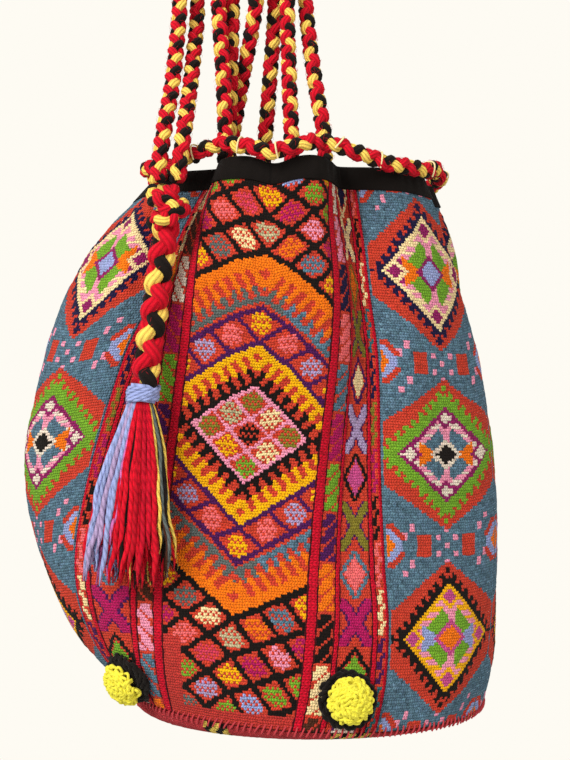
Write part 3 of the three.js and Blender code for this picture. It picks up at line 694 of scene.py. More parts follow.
skirt_top = tie_top - TIE_HIGH - 0.6
skirt_head = hang_point(skirt_top)
yarns = Yarns()
for number in range(SKIRT_YARNS):
    ray = math.sqrt((number + 0.5) / SKIRT_YARNS)
    angle = number * GOLDEN
    across, deep = ray * math.cos(angle), ray * math.sin(angle)
    if across < -0.36:
        colour, thick = rng.choice(["sky", "orchid", "sky", "lilac", "orchid", "scarlet"]), 1.9
    elif across < -0.12:
        colour, thick = rng.choice(["scarlet", "black", "crimson", "scarlet", "sky"]), 1.5
    elif across < 0.66:
        colour, thick = rng.choice(["scarlet"] * 9 + ["straw", "crimson", "black"]), 1.6
    else:
        colour, thick = rng.choice(["black", "grey", "straw", "scarlet", "brown"]), 1.3
    long = SKIRT_LONG * (0.72 + 0.24 * rng.random() - 0.06 * max(0.0, -across - 0.5))
    t = np.linspace(0, 1, 40)
    down = t * long / SKIRT_LONG
    wide = TIE_WIDE * 0.7 + (SKIRT_WIDE - TIE_WIDE * 0.7) * np.sin(down * math.pi / 2) ** 0.8
    high = TIE_WIDE * 0.7 + (SKIRT_THICK - TIE_WIDE * 0.7) * down
    sway, beat = rng.normal(0, 2.2, 2), rng.uniform(1.5, 4, 2)
    kink = 0.7 * np.sin(long * t / rng.uniform(3.5, 6) + rng.uniform(0, 6))
    drift = sway[0] * np.sin(beat[0] * t * math.pi) + kink
    x = -SKIRT_DRIFT * down + across * (wide / 2 - 2.5) + drift * t
    y = -SKIRT_LEAN * down + deep * (high / 2 - 2) + 0.5 * sway[1] * t * np.sin(beat[1] * t * math.pi)
    strand = skirt_head + np.stack([x, y, -down * SKIRT_LONG + 2.5 * (1 - t)], -1)
    brushed = colour in ("scarlet", "crimson")
    taper = np.clip((1 - t) * 9, 0.3, 1) * (1 + (0.25 * t if brushed else 0))
    shade = np.clip(linear_yarn(colour) * (1 + rng.normal(0, 0.10)), 0, 1)
    yarns.add(strand, thick * taper, shade, 7, plies=2, twist=0.14)
    # Loose fibres at the frayed foot, more of them on the brushed red yarns
    for _ in range(9 if brushed else 3):
        start = rng.integers(18, 38)
        reach = np.linspace(0, 1, 7)[:, None]
        aim = np.array([rng.normal(0, 3.4), rng.normal(0, 1.4), -rng.uniform(6, 15)])
        aim[2] = max(aim[2], skirt_head[2] - SKIRT_LONG - strand[start][2])
        curl = rng.normal(0, 1.2, 3) * np.sin(math.pi * reach)
        root = strand[start] + rng.normal(0, 0.6, 3)
        yarns.add(root + aim * reach + curl * reach, 0.27 * (1.1 - reach[:, 0]), shade, 4)
skirt = yarns.piece("skirt_yarns", YARN_CORD, "tassel_yarn", "tassel")
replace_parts(skirt, "tassel_skirt")

# Stitch grids of the walls
STITCH = 2.0
STRIPE_EDGE = 1.2
INNER_STEP = 3  # stitches to a quad on the inside
BOUND_ROWS = 7  # rows under the binding, which stay flat
WALL_ROWS = 204
FRONT_COLUMNS = 117
SIDE_COLUMNS = 105
BAND_START = 26  # stitches from the middle to the bands
FINE = np.linspace(0, 1, 121)


def stitch_levels(places, rows):
    """Levels that split each line down the cloth into rows of equal length."""
    grid = cloth_grid(places, FINE, panels=True)
    lengths = np.linalg.norm(np.diff(grid, axis=0), axis=2)
    lengths = np.vstack([np.zeros(len(places)), np.cumsum(lengths, axis=0)])
    wanted = np.linspace(0, 1, rows + 1)
    levels = [np.interp(wanted * lengths[-1, k], lengths[:, k], FINE) for k in range(len(places))]
    return grid, np.array(levels).T


def resample(grid, levels):
    """Points of the fine grid at each line's own levels."""
    points = np.empty(levels.shape + (3,))
    for k in range(levels.shape[1]):
        for axis in range(3):
            points[:, k, axis] = np.interp(levels[:, k], FINE, grid[:, k, axis])
    return points


def hex_dots(i, j):
    """Staggered dots two rows high, as the little brocade clusters have."""
    return np.mod(j + 2 * np.mod(i, 2), 3) < 2


class Weave:
    """Yarn colours on a stitch grid. x grows to the right and z upwards, in millimetres."""

    def __init__(self, columns, rows, centre_row, tilt=0.0, ground="brick"):
        self.i, self.j = np.meshgrid(np.arange(columns) - (columns - 1) / 2, np.arange(rows))
        self.x = self.i * STITCH
        self.widths = np.full(columns, STITCH)
        self.z = (centre_row - self.j) * STITCH
        self.z = self.z + tilt * self.x * (1 + 0.005 * np.abs(self.z))
        self.colour = np.full((rows, columns), NAMES.index(ground))
        self.raised = np.zeros((rows, columns))

    def paint(self, mask, name, raised=1.0):
        self.colour[mask] = NAMES.index(name)
        self.raised[mask] = raised


RING_EDGES = [36.5, 66.5, 95.5, 132.0]
STRIP_SLOPE = 0.86  # height lost by the lozenge sides to each millimetre across, less further out
SLOPE_EASE = 0.0022
TOOTH_PITCH = 8.8
CELL_PITCH = 26.0
APEX_CELLS = ["sage", "yellow", "lime"]
RIGHT_CELLS = [["orange", "slate", "yellow"], ["magenta", "pink", "magenta"], ["sky", "lime", "lime"]]
LEFT_CELLS = [["cream", "grey", "yellow"], ["rose", "salmon", "magenta"], ["lilac", "lime", "lime"]]


def paint_strip(w):
    """The wide strip: lozenge rings round a nine-celled diamond, then a black lattice."""
    strip = np.abs(w.x) < STRIP_WIDTH / 2
    high, side = np.abs(w.z), np.abs(w.x)
    slope = STRIP_SLOPE - SLOPE_EASE * np.minimum(high, 130)
    d, q = high + slope * side, high - slope * side
    run = (side - 0.8 * high) / 1.28
    tooth = np.mod(run / TOOTH_PITCH, 1)
    dots = hex_dots(w.i.astype(int), w.j)

    def inside(mask):
        return strip & mask

    # Pink diamond with nine dotted cells
    p9, q9 = w.z + 0.84 * w.x, w.z - 0.84 * w.x
    core = inside(d < RING_EDGES[0])
    third = RING_EDGES[0] / 3
    lines = (np.abs(np.abs(p9) - third) < 1.6) | (np.abs(np.abs(q9) - third) < 1.6)
    w.paint(core & ((d > RING_EDGES[0] - 3.6) | lines), "pink")
    cells = [["olive", "sage", "olive"], ["yellow", "black", "cream"], ["lime", "cream", "olive"]]
    for a in (-1, 0, 1):
        for b in (-1, 0, 1):
            pc, qc = 2 * third * a, 2 * third * b
            x, z = (pc - qc) / 1.68, (pc + qc) / 2
            spot = ((w.x - x) / 7.6) ** 2 + ((w.z - z) / 7.4) ** 2 < 1
            w.paint(core & spot & dots, cells[1 - b][a + 1])
    # Black teeth against yellow ones
    s = d - RING_EDGES[0]
    ring = inside((s >= 0) & (d < RING_EDGES[1]))
    w.paint(ring & ((s < 4) | ((s < 14) & (tooth < 0.5))), "black")
    w.paint(ring & ((s > 24.5) | ((s > 13) & (tooth > 0.32) & (tooth < 0.8))), "yellow")
    eye = side * 0.8 + np.abs(high - 57)
    w.paint(ring & (eye < 9), "yellow")
    w.paint(ring & (eye < 3.4), "brick", 0)
    # Purple lattice with dotted cells
    thick = RING_EDGES[2] - RING_EDGES[1]
    s = d - RING_EDGES[1]
    ring = inside((s >= 0) & (s < thick))
    across = np.mod(q - RING_EDGES[1], thick)
    w.paint(ring & ((s < 4) | (s > thick - 4.5) | (across < 4)), "purple")
    number = np.floor((RING_EDGES[2] - q) / thick).astype(int)
    middle = (RING_EDGES[1] + RING_EDGES[2]) / 2 + 1
    for n, name in enumerate(["yellow", "salmon", "lilac", "yellow", "yellow"]):
        z = middle - n * thick / 2
        x = n * thick / 2 / (STRIP_SLOPE - SLOPE_EASE * max(z, 0))
        spot = ((side - x) / 7.6) ** 2 + ((high - z) / 7.8) ** 2 < 1
        w.paint(ring & spot & dots & (np.abs(number - n) <= 1), name)
    # Grey and slate teeth against the orange band
    s = d - RING_EDGES[2]
    ring = inside((s >= 2.5) & (d < RING_EDGES[3]))
    for name, half in (("grey", w.x <= 14), ("slate", w.x > 14)):
        w.paint(ring & half & ((s < 7) | ((s < 16) & (tooth < 0.45))), name)
    w.paint(ring & ((s > 28) | ((s > 13) & (tooth > 0.34) & (tooth < 0.8))), "orange")
    eye = side * 0.8 + np.abs(high - 118)
    w.paint(ring & (eye < 9.5), "orange")
    w.paint(ring & (eye < 3.4), "brick", 0)
    # Black lattice with a dotted cluster in each cell
    cross = high - (1.5 - slope) * side
    s = d - RING_EDGES[3]
    far = inside(s >= 0)
    t = cross - RING_EDGES[3]
    down_cell, cross_cell = np.mod(s, CELL_PITCH), np.mod(t, CELL_PITCH)
    w.paint(far & ((down_cell < 5) | (cross_cell < 5)), "black")
    middle = (CELL_PITCH + 5) / 2
    spot = np.hypot(down_cell - middle, cross_cell - middle) < 9.4
    m = np.floor(s / CELL_PITCH)
    n = np.clip(m - np.floor(t / CELL_PITCH), 0, 3)
    for row in range(3):
        w.paint(far & spot & dots & (m % 3 == row) & (n == 0), APEX_CELLS[row])
        for column in (1, 2, 3):
            here = far & spot & dots & (m % 3 == row) & (n == column)
            w.paint(here & (w.x >= 0), RIGHT_CELLS[row][column - 1])
            w.paint(here & (w.x < 0), LEFT_CELLS[row][column - 1])
    w.paint(inside(w.j > w.j.max() - 5), "faded", 0)
    w.paint(inside((w.x < -37) & (w.z < -158)), "faded", 0)


ZIGZAG_LEFT = "cream brown ecru magenta lime purple salmon lilac brown pink slate orange".split()
ZIGZAG_RIGHT = "ecru pink navy salmon slate magenta lime purple orange black cream brown pink".split()
ZIGZAG_OUTER = "salmon black cream teal navy olive magenta black salmon cream purple teal olive".split()
DIAMOND_BAND = [
    ("navy", "cream"), ("cream", "brick"), ("orange", "olive"), ("olive", "brick"), ("cream", "purple"),
    ("lilac", "brick"), ("mauve", "black"), ("olive", "brick"), ("salmon", "slate"), ("magenta", "brick"),
    ("lime", "black"), ("ecru", "brick"), ("navy", "cream"),
]


def paint_stripe(w, offset, start):
    """Crimson stripe with a thin dark line on both sides; its first and last stitch."""
    first, last = start
    w.paint((offset >= first) & (offset <= last), "crimson", 1.2)
    w.paint((offset == first) | (offset == last), "wine", 0.2)


def paint_zigzag(w, offset, start, names, block=18):
    """Stacked serpentine blocks with slanting gaps."""
    first, last = start
    band = (offset >= first) & (offset <= last)
    row = np.mod(w.j, block)
    lobe = np.mod(row + 0.8 * (offset - first), 6)
    edge = ((offset == last) & (lobe > 3.4)) | ((offset == first) & (lobe < 2.6))
    full = (row > 0) & (lobe > 0.9) & ~edge
    for n, name in enumerate(names):
        w.paint(band & full & (w.j // block == n), name, 1.1)


def paint_bands(w, side, names):
    """The stripes and narrow bands between the strip and the panel's edge."""
    offset = np.where(w.x * side > 0, np.abs(w.i).astype(int) - BAND_START, -1)
    paint_stripe(w, offset, (0, 3))
    paint_zigzag(w, offset, (4, 9), names)
    paint_stripe(w, offset, (10, 12))
    cell = 17.4
    number = np.floor(w.j / cell).astype(int)
    across = (offset - 19) / 6.6
    down = (np.mod(w.j, cell) - cell / 2) / (cell / 2)
    band = (offset >= 13) & (offset <= 25)
    for n, (fill, edge) in enumerate(DIAMOND_BAND):
        here = band & (number == n)
        reach = np.abs(across) + np.abs(down)
        if n % 2 == 0:
            w.paint(here & (reach < 1.12), edge)
            w.paint(here & (reach < 0.82), "brick", 0)
            w.paint(here & (reach < 0.72), fill, 1.2)
        else:
            arms = np.abs(np.abs(across) - np.abs(down))
            w.paint(here & (arms < 0.34), fill, 1.2)
            w.paint(here & (arms > 0.34) & (arms < 0.46), "purple", 0.6)
    paint_stripe(w, offset, (26, 28))
    paint_zigzag(w, offset, (29, 31), ZIGZAG_OUTER, 17)
    w.paint(offset == 32, "crimson", 0.9)


def front_weave():
    w = Weave(FRONT_COLUMNS, WALL_ROWS, 0.482 * WALL_ROWS, tilt=0.11)
    offset = np.abs(w.i[0]).astype(int) - BAND_START
    w.widths[np.isin(offset, (0, 3, 10, 12, 26, 28))] = STRIPE_EDGE
    w.widths[np.isin(offset, (1, 2, 11, 27))] = STITCH + 1.0
    paint_strip(w)
    paint_bands(w, 1, ZIGZAG_RIGHT)
    paint_bands(w, -1, ZIGZAG_LEFT)
    return w


# A medallion's yarns: teeth, border, corner diamonds, steps, fans, side triangles, centre, its outline,
# then half its width and height in millimetres and the depth of its toothed band
MEDALLIONS = [
    ("navy", "cream", "plum", "pink", "lime", "orange", "sky", "plum", 40, 43, 4),
    ("lime", "plum", "ecru", "pink", "slate", "orange", "black", "ecru", 41, 36, 9),
    ("black", "yellow", "mauve", "pink", "lime", "sky", "orange", "mauve", 41, 40, 5),
]
MEDALLION_ROWS = 67


def paint_medallion(w, near, x, z, yarns):
    """One stepped medallion where near holds: x and z are distances from its middle."""
    teeth, border, corner, steps, fans, sides, centre, outline, wide, high, band = yarns
    a, b = np.abs(x) / wide, np.abs(z) / high
    s = a + b
    past = (s - 1) * high
    outer = (b + 0.74 * a - 1) * high
    run = np.mod((np.abs(x) - 0.7 * np.abs(z)) / 9.2, 1)
    w.paint(near & (outer < band + 11), "brick", 0.2)
    w.paint(near & (past < band + 6.5) & ((past < band) | (run < 0.55)), teeth)
    w.paint(near & (s < 1.0), border, 1.3)
    w.paint(near & (s < 0.88), steps, 1.1)
    fan = (np.abs(a - b) < 0.36) & (s > 0.34) & (s < 0.70) & (a > 0.07)
    notch = np.mod(b * high / 7.5 + 0.35, 1) < 0.42
    notched = near & (s < 0.88) & (s >= 0.70) & notch & (b > 0.16) & (b < 0.62)
    w.paint(notched, border if band < 8 else outline, 1.0)
    w.paint(near & fan, fans, 1.2)
    w.paint(near & (s < 0.88) & (a > 0.62) & (b < 0.2), outline, 1.2)
    w.paint(near & (a > 0.25) & (a < 0.60) & (b < (a - 0.2) * 0.66), sides, 1.3)
    for ca, cb in ((0.0, 0.75), (0.77, 0.0)):
        reach = np.abs(a - ca) + np.abs(b - cb)
        w.paint(near & (reach < 0.25) & (s < 1.0), border, 1.2)
        w.paint(near & (reach < 0.145), corner, 1.3)
    w.paint(near & (s < 0.34), outline, 1.1)
    w.paint(near & (s < 0.23), centre, 1.3)


GAP_DOTS = [(0, 0), (-8, -6), (8, -6), (-8, 6), (8, 6), (0, -12), (0, 12), (-30, -13), (-30, 13), (30, -13),
            (30, 13), (-36, -7), (36, 7), (-36, 20), (36, -20)]


def side_weave(first_row):
    """Two columns of medallions on a heathered slate ground with red flowers between them."""
    w = Weave(SIDE_COLUMNS, WALL_ROWS, 0, ground="slate")
    w.raised[:] = 0.7
    pitch = MEDALLION_ROWS * STITCH
    for column in (-1, 1):
        x = w.x - column * SIDE_PANEL / 4
        near = np.abs(x) < SIDE_PANEL / 4
        fall = -w.z - first_row * STITCH
        number = np.round(fall / pitch)
        for n, yarns in enumerate(MEDALLIONS):
            paint_medallion(w, near & (np.mod(number, 3) == n), x, fall - number * pitch, yarns)
        half = np.mod(fall, pitch) - pitch / 2
        edge = SIDE_PANEL / 4 - np.abs(x)
        petal = edge / 10 + np.abs(half) / 11
        w.paint(near & (petal < 2.3) & (np.abs(half) < 17) & (edge < 17) & (np.abs(half) > 4), "brick", 0.7)
        w.paint(near & (petal < 1.75) & (np.abs(half) < 13) & (edge < 15), "sky", 1.1)
        w.paint(near & (petal < 1.0), "orange", 1.2)
        for dx in (-20, 20):
            w.paint(near & (np.abs(x - dx) < 6.2) & (np.abs(half) < 7.5), "brick", 0.6)
        slate = w.colour == NAMES.index("slate")
        for dx, dz in GAP_DOTS:
            w.paint(near & slate & (np.hypot((x - dx) / 2.6, (half - dz) / 3.0) < 1), "pink", 1.2)
    w.paint(np.abs(w.i) > 51, "slate", 0.4)
    return w


def soft_waves(turn, level):
    """Gentle unevenness of the cloth in millimetres, with puckers under the gathered rim."""
    waves = 0.8 * np.sin(11 * turn + 7 * level) + 0.6 * np.sin(17 * turn - 9 * level + 1)
    waves += 0.6 * np.sin(5 * turn + 13 * level + 2)
    return waves + 1.2 * np.exp(-level / 0.10) * np.sin(61 * turn + 2 * np.sin(7 * turn))


def wall(name, first, weave):
    """One woven wall: a quad for each stitch outside, larger ones inside, closed at its edges."""
    rows, columns = weave.colour.shape
    edge = SEAM_GAP / 2
    width = (FRONT_PANEL if columns == FRONT_COLUMNS else SIDE_PANEL) - 2 * edge
    run = np.concatenate([[0], np.cumsum(weave.widths)])
    places = first + edge + run * width / run[-1]
    grid, levels = stitch_levels(places, rows)
    skin = resample(grid, levels)
    out = grid_out(skin)
    lift = np.zeros((rows + 1, columns + 1))
    padded = np.pad(weave.raised, 1, mode="edge")
    for dj in (0, 1):
        for di in (0, 1):
            lift += padded[dj : dj + rows + 1, di : di + columns + 1] / 4
    lift += rng.normal(0, 0.10, lift.shape)
    turn = 2 * math.pi * places / CLOTH_ROUND
    settle = np.clip((levels - 0.04) / 0.05, 0, 1) * np.clip((1 - levels) / 0.05, 0, 1)
    lift += settle * soft_waves(turn, levels)
    lift[:BOUND_ROWS] = 0
    lift[-1] = 0
    outer = skin + out * lift[..., None]
    sway = rng.normal(0, 0.26, (2,) + lift.shape)
    sway[:, [0, -1]] = 0
    sway[:, :, [0, -1]] = 0
    for axis, shift in ((1, sway[0]), (0, sway[1])):
        outer += unit(np.gradient(skin, axis=axis)) * shift[..., None]
    step = INNER_STEP
    inner = (skin - out * (CLOTH_THICK - 0.2))[::step, ::step]
    count = outer.shape[0] * outer.shape[1]
    top = np.arange(count).reshape(outer.shape[:2])
    low = count + np.arange(inner.shape[0] * inner.shape[1]).reshape(inner.shape[:2])
    faces = grid_faces(*outer.shape[:2]).tolist()
    faces += (turned_over(grid_faces(*inner.shape[:2])) + count).tolist()
    for fine, coarse, turn in ((top[0], low[0], 0), (top[-1], low[-1], 1), (top[:, 0], low[:, 0], 1),
                               (top[:, -1], low[:, -1], 0)):
        for k in range(len(coarse) - 1):
            face = [*fine[step * k : step * k + step + 1], coarse[k + 1], coarse[k]]
            faces.append([int(v) for v in (face[::-1] if turn else face)])
    points = np.concatenate([outer.reshape(-1, 3), inner.reshape(-1, 3)])
    piece = mesh_piece(name, points, faces, WOOL)
    shades = LINEAR[weave.colour] * (1 + rng.normal(0, 0.07, weave.colour.shape + (1,)))
    shades *= 1 + rng.normal(0, 0.025, weave.colour.shape + (3,))
    heather = (weave.colour == NAMES.index("slate"))[..., None]
    shades *= np.where(heather, 1 + rng.normal(0, 0.19, weave.colour.shape + (1,)), 1)
    rest = np.tile(linear_yarn("faded") * 0.8, (len(faces) - rows * columns, 1))
    paint_faces(piece, np.clip(np.concatenate([shades.reshape(-1, 3), rest]), 0, 1))
    uv = np.stack(np.meshgrid(np.arange(columns + 1.0), np.arange(rows + 1.0)), -1)
    uv = np.concatenate([uv.reshape(-1, 2), uv[::step, ::step].reshape(-1, 2)])
    lay_uv(piece, corner_uv(piece, uv))
    return piece


for name, first, weave, slot in (
    ("front", -FRONT_PANEL / 2, front_weave(), "woven_wool_red"),
    ("right", FRONT_PANEL / 2, side_weave(37), "woven_wool_blue"),
    ("back", HALF - FRONT_PANEL / 2, front_weave(), "woven_wool_red"),
    ("left", HALF + FRONT_PANEL / 2, side_weave(36), "woven_wool_blue"),
):
    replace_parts(wall(name + "_weave", first, weave), name + "_panel")

# Binding: black tape folded over the rim
rim_places = np.arange(0, CLOTH_ROUND, 2.0)
edges = [rim_frame(rim_places, level, panels=True) for level in (0, BINDING_LEVEL / 2, BINDING_LEVEL)]
outside, inside = BINDING_GAP + BINDING_THICK, -CLOTH_THICK - BINDING_GAP - BINDING_THICK
# Corners of the folded tape: edge level, distance out and height above it
BINDING_PROFILE = [
    (2, BINDING_GAP, 0), (2, outside - 0.5, -0.6), (2, outside + 0.1, 0), (1, outside, 0), (0, outside, 0),
    (0, outside - 0.5, 1.4), (0, BINDING_GAP - 1.4, 2.2), (0, inside + 3.0, 2.3), (0, inside + 0.6, 1.5),
    (0, inside, 0), (1, inside, 0), (2, inside, 0), (2, inside + BINDING_THICK, 0),
    (0, inside + BINDING_THICK, 0.4), (0, BINDING_GAP, 0.4),
]
turn = 2 * math.pi * rim_places / CLOTH_ROUND
ripple = 0.5 * np.sin(73 * turn + 3 * np.sin(5 * turn)) + 0.4 * np.sin(31 * turn)
rows = []
for row, out, up in BINDING_PROFILE:
    soft = ripple if out in (outside, inside) else 0 * ripple
    rows.append(edges[row][0] + edges[row][1] * (out + soft * 0.8)[:, None] + (0, 0, up))
points = np.array(rows)
faces = turned_over(grid_faces(*points.shape[:2], True, True))
binding = mesh_piece("binding_tape", points.reshape(-1, 3), faces.tolist(), TWILL)
run = np.cumsum([0] + [np.hypot(*np.subtract(b[1:], a[1:])) + 7 * abs(b[0] - a[0])
                       for a, b in zip(BINDING_PROFILE, BINDING_PROFILE[1:])])
uv = np.stack(np.broadcast_arrays(rim_places[None], run[:, None]), -1)
lay_uv(binding, corner_uv(binding, uv.reshape(-1, 2)))
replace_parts(binding, "rim_binding")

# Base: red cloth rolled under, with striped yellow and black stretches
BASE_THICK = 4
BASE_ROLL = 20
ROLL_ROWS = 12
FLAT_ROWS = 16
STRIPED_ROWS = 16
STRIPED_PLACES = ((-24, 0), (80, 116), (212, 236), (-300, -270), (330, 360))
base_places = np.linspace(0, CLOTH_ROUND, 445, endpoint=False)
seam, seam_out = rim_frame(base_places, 1)
seam[:, 2] -= SEAM_GAP
under = np.array([along(MIDDLE, 1) / 2, 0, FLAT_HEIGHT])
rows = []
for angle in np.linspace(0, math.pi / 2, ROLL_ROWS):
    row = seam - seam_out * (BASE_ROLL * (1 - math.cos(angle)))
    row[:, 2] += (FLAT_HEIGHT - seam[:, 2]) * math.sin(angle)
    if 0.1 < angle < 1.4:
        row += seam_out * (0.35 * rng.normal(0, 1, len(row)))[:, None]
    rows.append(row)
rolled = rows[-1]
for share in np.linspace(0.93, 0.04, FLAT_ROWS):
    rows.append(under + (rolled - under) * share)
lower = len(rows)
for share in (0.04, 0.5, 1.0):
    row = under + (seam - seam_out * (BASE_ROLL + BASE_THICK) - under) * share
    row[:, 2] = FLAT_HEIGHT + BASE_THICK
    rows.append(row)
rows.append(seam - seam_out * BASE_THICK)
points = np.array(rows)
count, around = points.shape[:2]
quads = grid_faces(count, around, True, True)
keep = quads[:, 0] // around != lower - 1
faces = quads[keep].tolist()
faces.append([(lower - 1) * around + v for v in range(around)])
faces.append([lower * around + v for v in range(around)][::-1])
base = mesh_piece("base_weave", points.reshape(-1, 3), faces, WOOL)
turn = np.mod(base_places + HALF, CLOTH_ROUND) - HALF
striped = np.zeros(around, bool)
for start, end in STRIPED_PLACES:
    striped |= (turn > start) & (turn < end)
shades = np.tile(linear_yarn("rust"), (count, around, 1))
slanted = np.mod(turn[None] + 1.5 * np.arange(count)[:, None], 12)
bands = striped[None] & (np.arange(count)[:, None] < STRIPED_ROWS)
shades[bands & (slanted < 6)] = linear_yarn("straw")
shades[bands & (slanted >= 6)] = linear_yarn("black")
shades = shades * (1 + rng.normal(0, 0.09, (count, around, 1)))
plain = np.tile(linear_yarn("rust"), (2, 1))
paint_faces(base, np.clip(np.concatenate([shades.reshape(-1, 3)[keep], plain]), 0, 1))
u, v = np.meshgrid(base_places / STITCH, np.arange(count) * 1.2)
lay_uv(base, corner_uv(base, np.stack([u, v], -1).reshape(-1, 2)))
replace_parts(base, "base")


# Threads laid by rule: stitches, tacks and the loops of the pompoms
def thread_tree(material):
    """Geometry nodes that set an arched piece of thread on every point, along and out as stored there."""
    tree = bpy.data.node_groups.new("laid_threads", "GeometryNodeTree")
    kinds = {"Geometry": "Geometry", "Length": "Float", "Thickness": "Float", "Arch": "Float",
             "Scatter": "Float", "Seed": "Int"}
    for name, kind in kinds.items():
        tree.interface.new_socket(name, in_out="INPUT", socket_type="NodeSocket" + kind)
    tree.interface.new_socket("Geometry", in_out="OUTPUT", socket_type="NodeSocketGeometry")
    given = node(tree, "NodeGroupInput")
    half = node(tree, MATH, TIMES, i0=given.outputs["Length"], i1=0.5)
    back = node(tree, MATH, TIMES, i0=half, i1=-1.0)
    start = node(tree, "ShaderNodeCombineXYZ", X=back)
    middle = node(tree, "ShaderNodeCombineXYZ", Z=given.outputs["Arch"])
    end = node(tree, "ShaderNodeCombineXYZ", X=half)
    line = node(tree, "GeometryNodeCurveQuadraticBezier", Resolution=7, Start=start, Middle=middle, End=end)
    round_of = node(tree, "GeometryNodeCurvePrimitiveCircle", Resolution=6)
    wide = node(tree, MATH, TIMES, i0=given.outputs["Thickness"], i1=0.5)
    tree.links.new(wide.outputs[0], round_of.inputs["Radius"])
    thread = node(tree, "GeometryNodeCurveToMesh", Curve=line, Profile_Curve=round_of)
    thread.inputs["Fill Caps"].default_value = True
    vector = {"data_type": "FLOAT_VECTOR"}
    out, lie = (node(tree, "GeometryNodeInputNamedAttribute", vector, Name=name) for name in ("out", "along"))
    axes = {"primary_axis": "Z", "secondary_axis": "X"}
    turned = node(tree, "FunctionNodeAxesToRotation", axes, i0=out, i1=lie)
    scatter = given.outputs["Scatter"]
    most = node(tree, "ShaderNodeCombineXYZ", X=scatter, Y=scatter, Z=scatter)
    least = node(tree, "ShaderNodeVectorMath", {"operation": "SCALE"}, i0=most)
    least.inputs["Scale"].default_value = -1.0
    loose = node(tree, "FunctionNodeRandomValue", vector, Min=least, Max=most)
    tree.links.new(given.outputs["Seed"], loose.inputs["Seed"])
    tilt = node(tree, "FunctionNodeEulerToRotation", i0=loose)
    turned = node(tree, "FunctionNodeRotateRotation", {"rotation_space": "LOCAL"}, i0=turned, i1=tilt)
    laid = node(tree, "GeometryNodeInstanceOnPoints", Points=given.outputs["Geometry"], Instance=thread,
                Rotation=turned)
    plain = node(tree, "GeometryNodeRealizeInstances", Geometry=laid)
    smooth = node(tree, "GeometryNodeSetShadeSmooth", i0=plain)
    dressed = node(tree, "GeometryNodeSetMaterial", Geometry=smooth, Material=material)
    node(tree, "NodeGroupOutput", Geometry=dressed)
    return tree


def laid_threads(name, points, out, lie, sizes, material, body="bag"):
    """A piece of threads on points in millimetres; sizes are length, thickness, arch, scatter and seed."""
    mesh = bpy.data.meshes.new(name + "_points")
    mesh.from_pydata((np.asarray(points) * MM).tolist(), [], [])
    for label, values in (("out", out), ("along", lie)):
        layer = mesh.attributes.new(label, "FLOAT_VECTOR", "POINT")
        layer.data.foreach_set("vector", np.asarray(values, float).ravel())
    holder = place_object(name + "_points", mesh)
    tree = thread_tree(material)
    modifier = holder.modifiers.new("threads", "NODES")
    modifier.node_group = tree
    keys = {item.name: item.identifier for item in tree.interface.items_tree if item.in_out == "INPUT"}
    length, thickness, arch, scatter, seed = sizes
    for label, value in (("Length", length * MM), ("Thickness", thickness * MM), ("Arch", arch * MM),
                         ("Scatter", float(scatter)), ("Seed", seed)):
        modifier[keys[label]] = value
    evaluated = holder.evaluated_get(bpy.context.evaluated_depsgraph_get())
    made = bpy.data.meshes.new_from_object(evaluated)
    made.name = name
    bpy.data.objects.remove(holder)
    piece = place_object(name, made)
    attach(piece, body)
    return piece


# Pompoms: black yarn frills with yellow tufts
POMPOM_PLACE = 36.5
POMPOM_LEVEL = 0.945
FRILL_RADIUS = 20
POMPOM_RADIUS = 17
FRILL_FOOT = 1.3
offset = STRIP_WIDTH / 2 + POMPOM_PLACE
for number, u in enumerate((offset, -offset, HALF - offset, HALF + offset), 1):
    at, out = cloth_at(u, POMPOM_LEVEL)
    first = unit(np.cross(out, (0, 0, 1)))
    second = np.cross(out, first)
    frill_sizes, tuft_sizes = (7, 3.0, 6, 0.6, number), (6, 2.3, 9, 0.9, 9 + number)
    for part, radius, high, foot, count, sizes, material, slot in (
        ("frill", FRILL_RADIUS - 2, 2.0, FRILL_FOOT + 2.0, 150, frill_sizes, BLACK_FLUFF, "black_yarn"),
        ("tuft", POMPOM_RADIUS - 4.0, 8.5, FRILL_FOOT + 6.3, 190, tuft_sizes, YELLOW_FLUFF, "yellow_yarn"),
    ):
        share = (np.arange(count) + 0.5) / count
        angle = GOLDEN * np.arange(count)
        reach = radius * np.sqrt(share)
        rise = foot + high * np.sqrt(np.clip(1 - share * 0.96, 0, 1)) - (1.2 if part == "frill" else 0)
        level = first * np.cos(angle)[:, None] + second * np.sin(angle)[:, None]
        points = at + level * reach[:, None] + out * rise[:, None]
        lean = unit(out + level * (share * (2.2 if part == "frill" else 1.3))[:, None])
        lie = unit(np.cross(out, level) + level * 0.4)
        piece = laid_threads(f"pompom_{part}_yarn_{number}", points, lean, lie, sizes, material)
        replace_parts(piece, f"pompom_{part}_{number}")

# Overcast stitches along the seam between the walls and the base
stitch_places = np.arange(0, CLOTH_ROUND, 5.0)
at, out = rim_frame(stitch_places, 1)
across = unit(np.roll(at, -1, 0) - np.roll(at, 1, 0))
slanted = unit(across * 0.5 + (0, 0, 1.0))
laid_threads("seam_stitches", at + out * 0.3, out, slanted, (7, 1.3, 2.6, 0.2, 5), SEAM_THREAD)

# Cream tacks over the rim cord
tacks = np.array([6, 60, 104, 160, 205, 262, 318, 372, 430, 486, 540, 600, 655, 710, 768, 815, 862])
ahead = rim_cord_path[(tacks + 3) % len(rim_cord_path)] - rim_cord_path[tacks - 3]
over_cord = unit(rim_out[tacks] * 0.8 + (0, 0, 0.6))
laid_threads("rim_tacks", rim_cord_path[tacks], over_cord, unit(np.cross(unit(ahead), over_cord)),
             (13, 1.3, 15.5, 0.25, 4), TACK_THREAD)

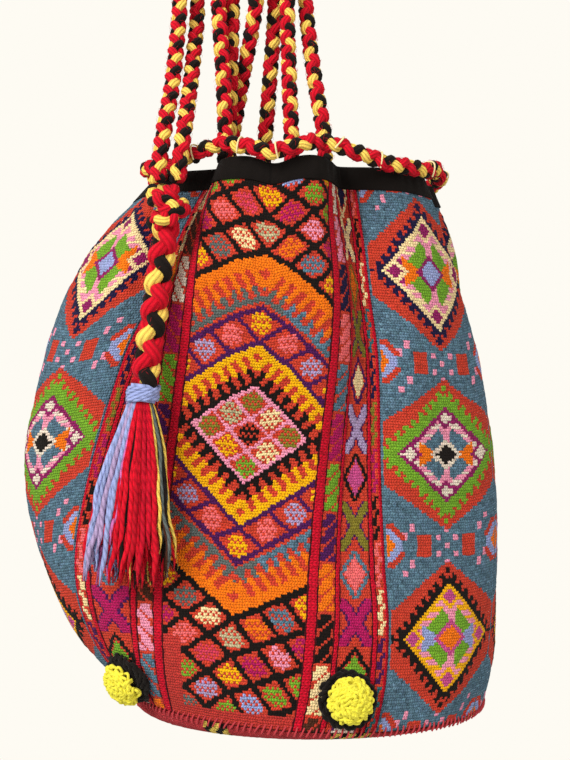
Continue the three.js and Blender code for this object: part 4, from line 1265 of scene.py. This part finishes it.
# Loose fibres that stand off the cords
FIBRE_ROOT = 0.45  # share of the cord's width
RED_FIBRE = fluffy_yarn("loose_red_fibre", "scarlet")
for name, paths, radius, count, body in (
    ("cord_fibres", [*strap_paths, rim_cord_path], STRAP_WIDE * FIBRE_ROOT, 300, "bag"),
    ("tassel_fibres", [tassel_path], TASSEL_CORD_WIDE * FIBRE_ROOT, 160, "tassel"),
):
    roots, leans = [], []
    for path in paths:
        here = rng.integers(2, len(path) - 2, count)
        lean = unit(rng.normal(0, 1, (count, 3)))
        run = unit(path[here + 1] - path[here - 1])
        lean = unit(lean - run * np.sum(lean * run, axis=1, keepdims=True))
        roots.append(path[here] + lean * radius)
        leans.append(lean)
    lean = np.concatenate(leans)
    lie = unit(np.cross(lean, rng.normal(0, 1, lean.shape)))
    laid_threads(name, np.concatenate(roots), lean, lie, (4.5, 0.15, 2.0, 0.8, 21), RED_FIBRE, body=body)


# Soft light from the front left, and an even pale world
def area_light(name, place, aim, size, power):
    data = bpy.data.lights.new(name, "AREA")
    data.shape, data.size, data.energy = "SQUARE", size, power
    light = place_object(name, data)
    light.location = place
    light.rotation_euler = (Vector(aim) - Vector(place)).to_track_quat("-Z", "Y").to_euler()


BAG_MIDDLE = (0, 0, -0.35)
area_light("key", (-1.3, -1.7, 0.8), BAG_MIDDLE, 1.1, 54)
area_light("fill", (1.5, -1.6, 0.1), BAG_MIDDLE, 1.6, 11)
world = bpy.data.worlds.new("world")
world.use_nodes = True
tree = world.node_tree
tree.nodes.clear()
soft = node(tree, "ShaderNodeBackground", Color=(1, 0.985, 0.96, 1), Strength=0.64)
seen = node(tree, "ShaderNodeBackground", Color=(*linear("fefbf3"), 1), Strength=1.0)
rays = node(tree, "ShaderNodeLightPath")
shown = rays.outputs["Is Camera Ray"]
for kind in ("Is Glossy Ray", "Is Transmission Ray"):
    shown = node(tree, MATH, {"operation": "MAXIMUM"}, i0=shown, i1=rays.outputs[kind])
mixed = node(tree, "ShaderNodeMixShader", i0=shown, i1=soft, i2=seen)
node(tree, "ShaderNodeOutputWorld", Surface=mixed)
bpy.context.scene.world = world
bpy.context.scene.view_settings.view_transform = "Standard"
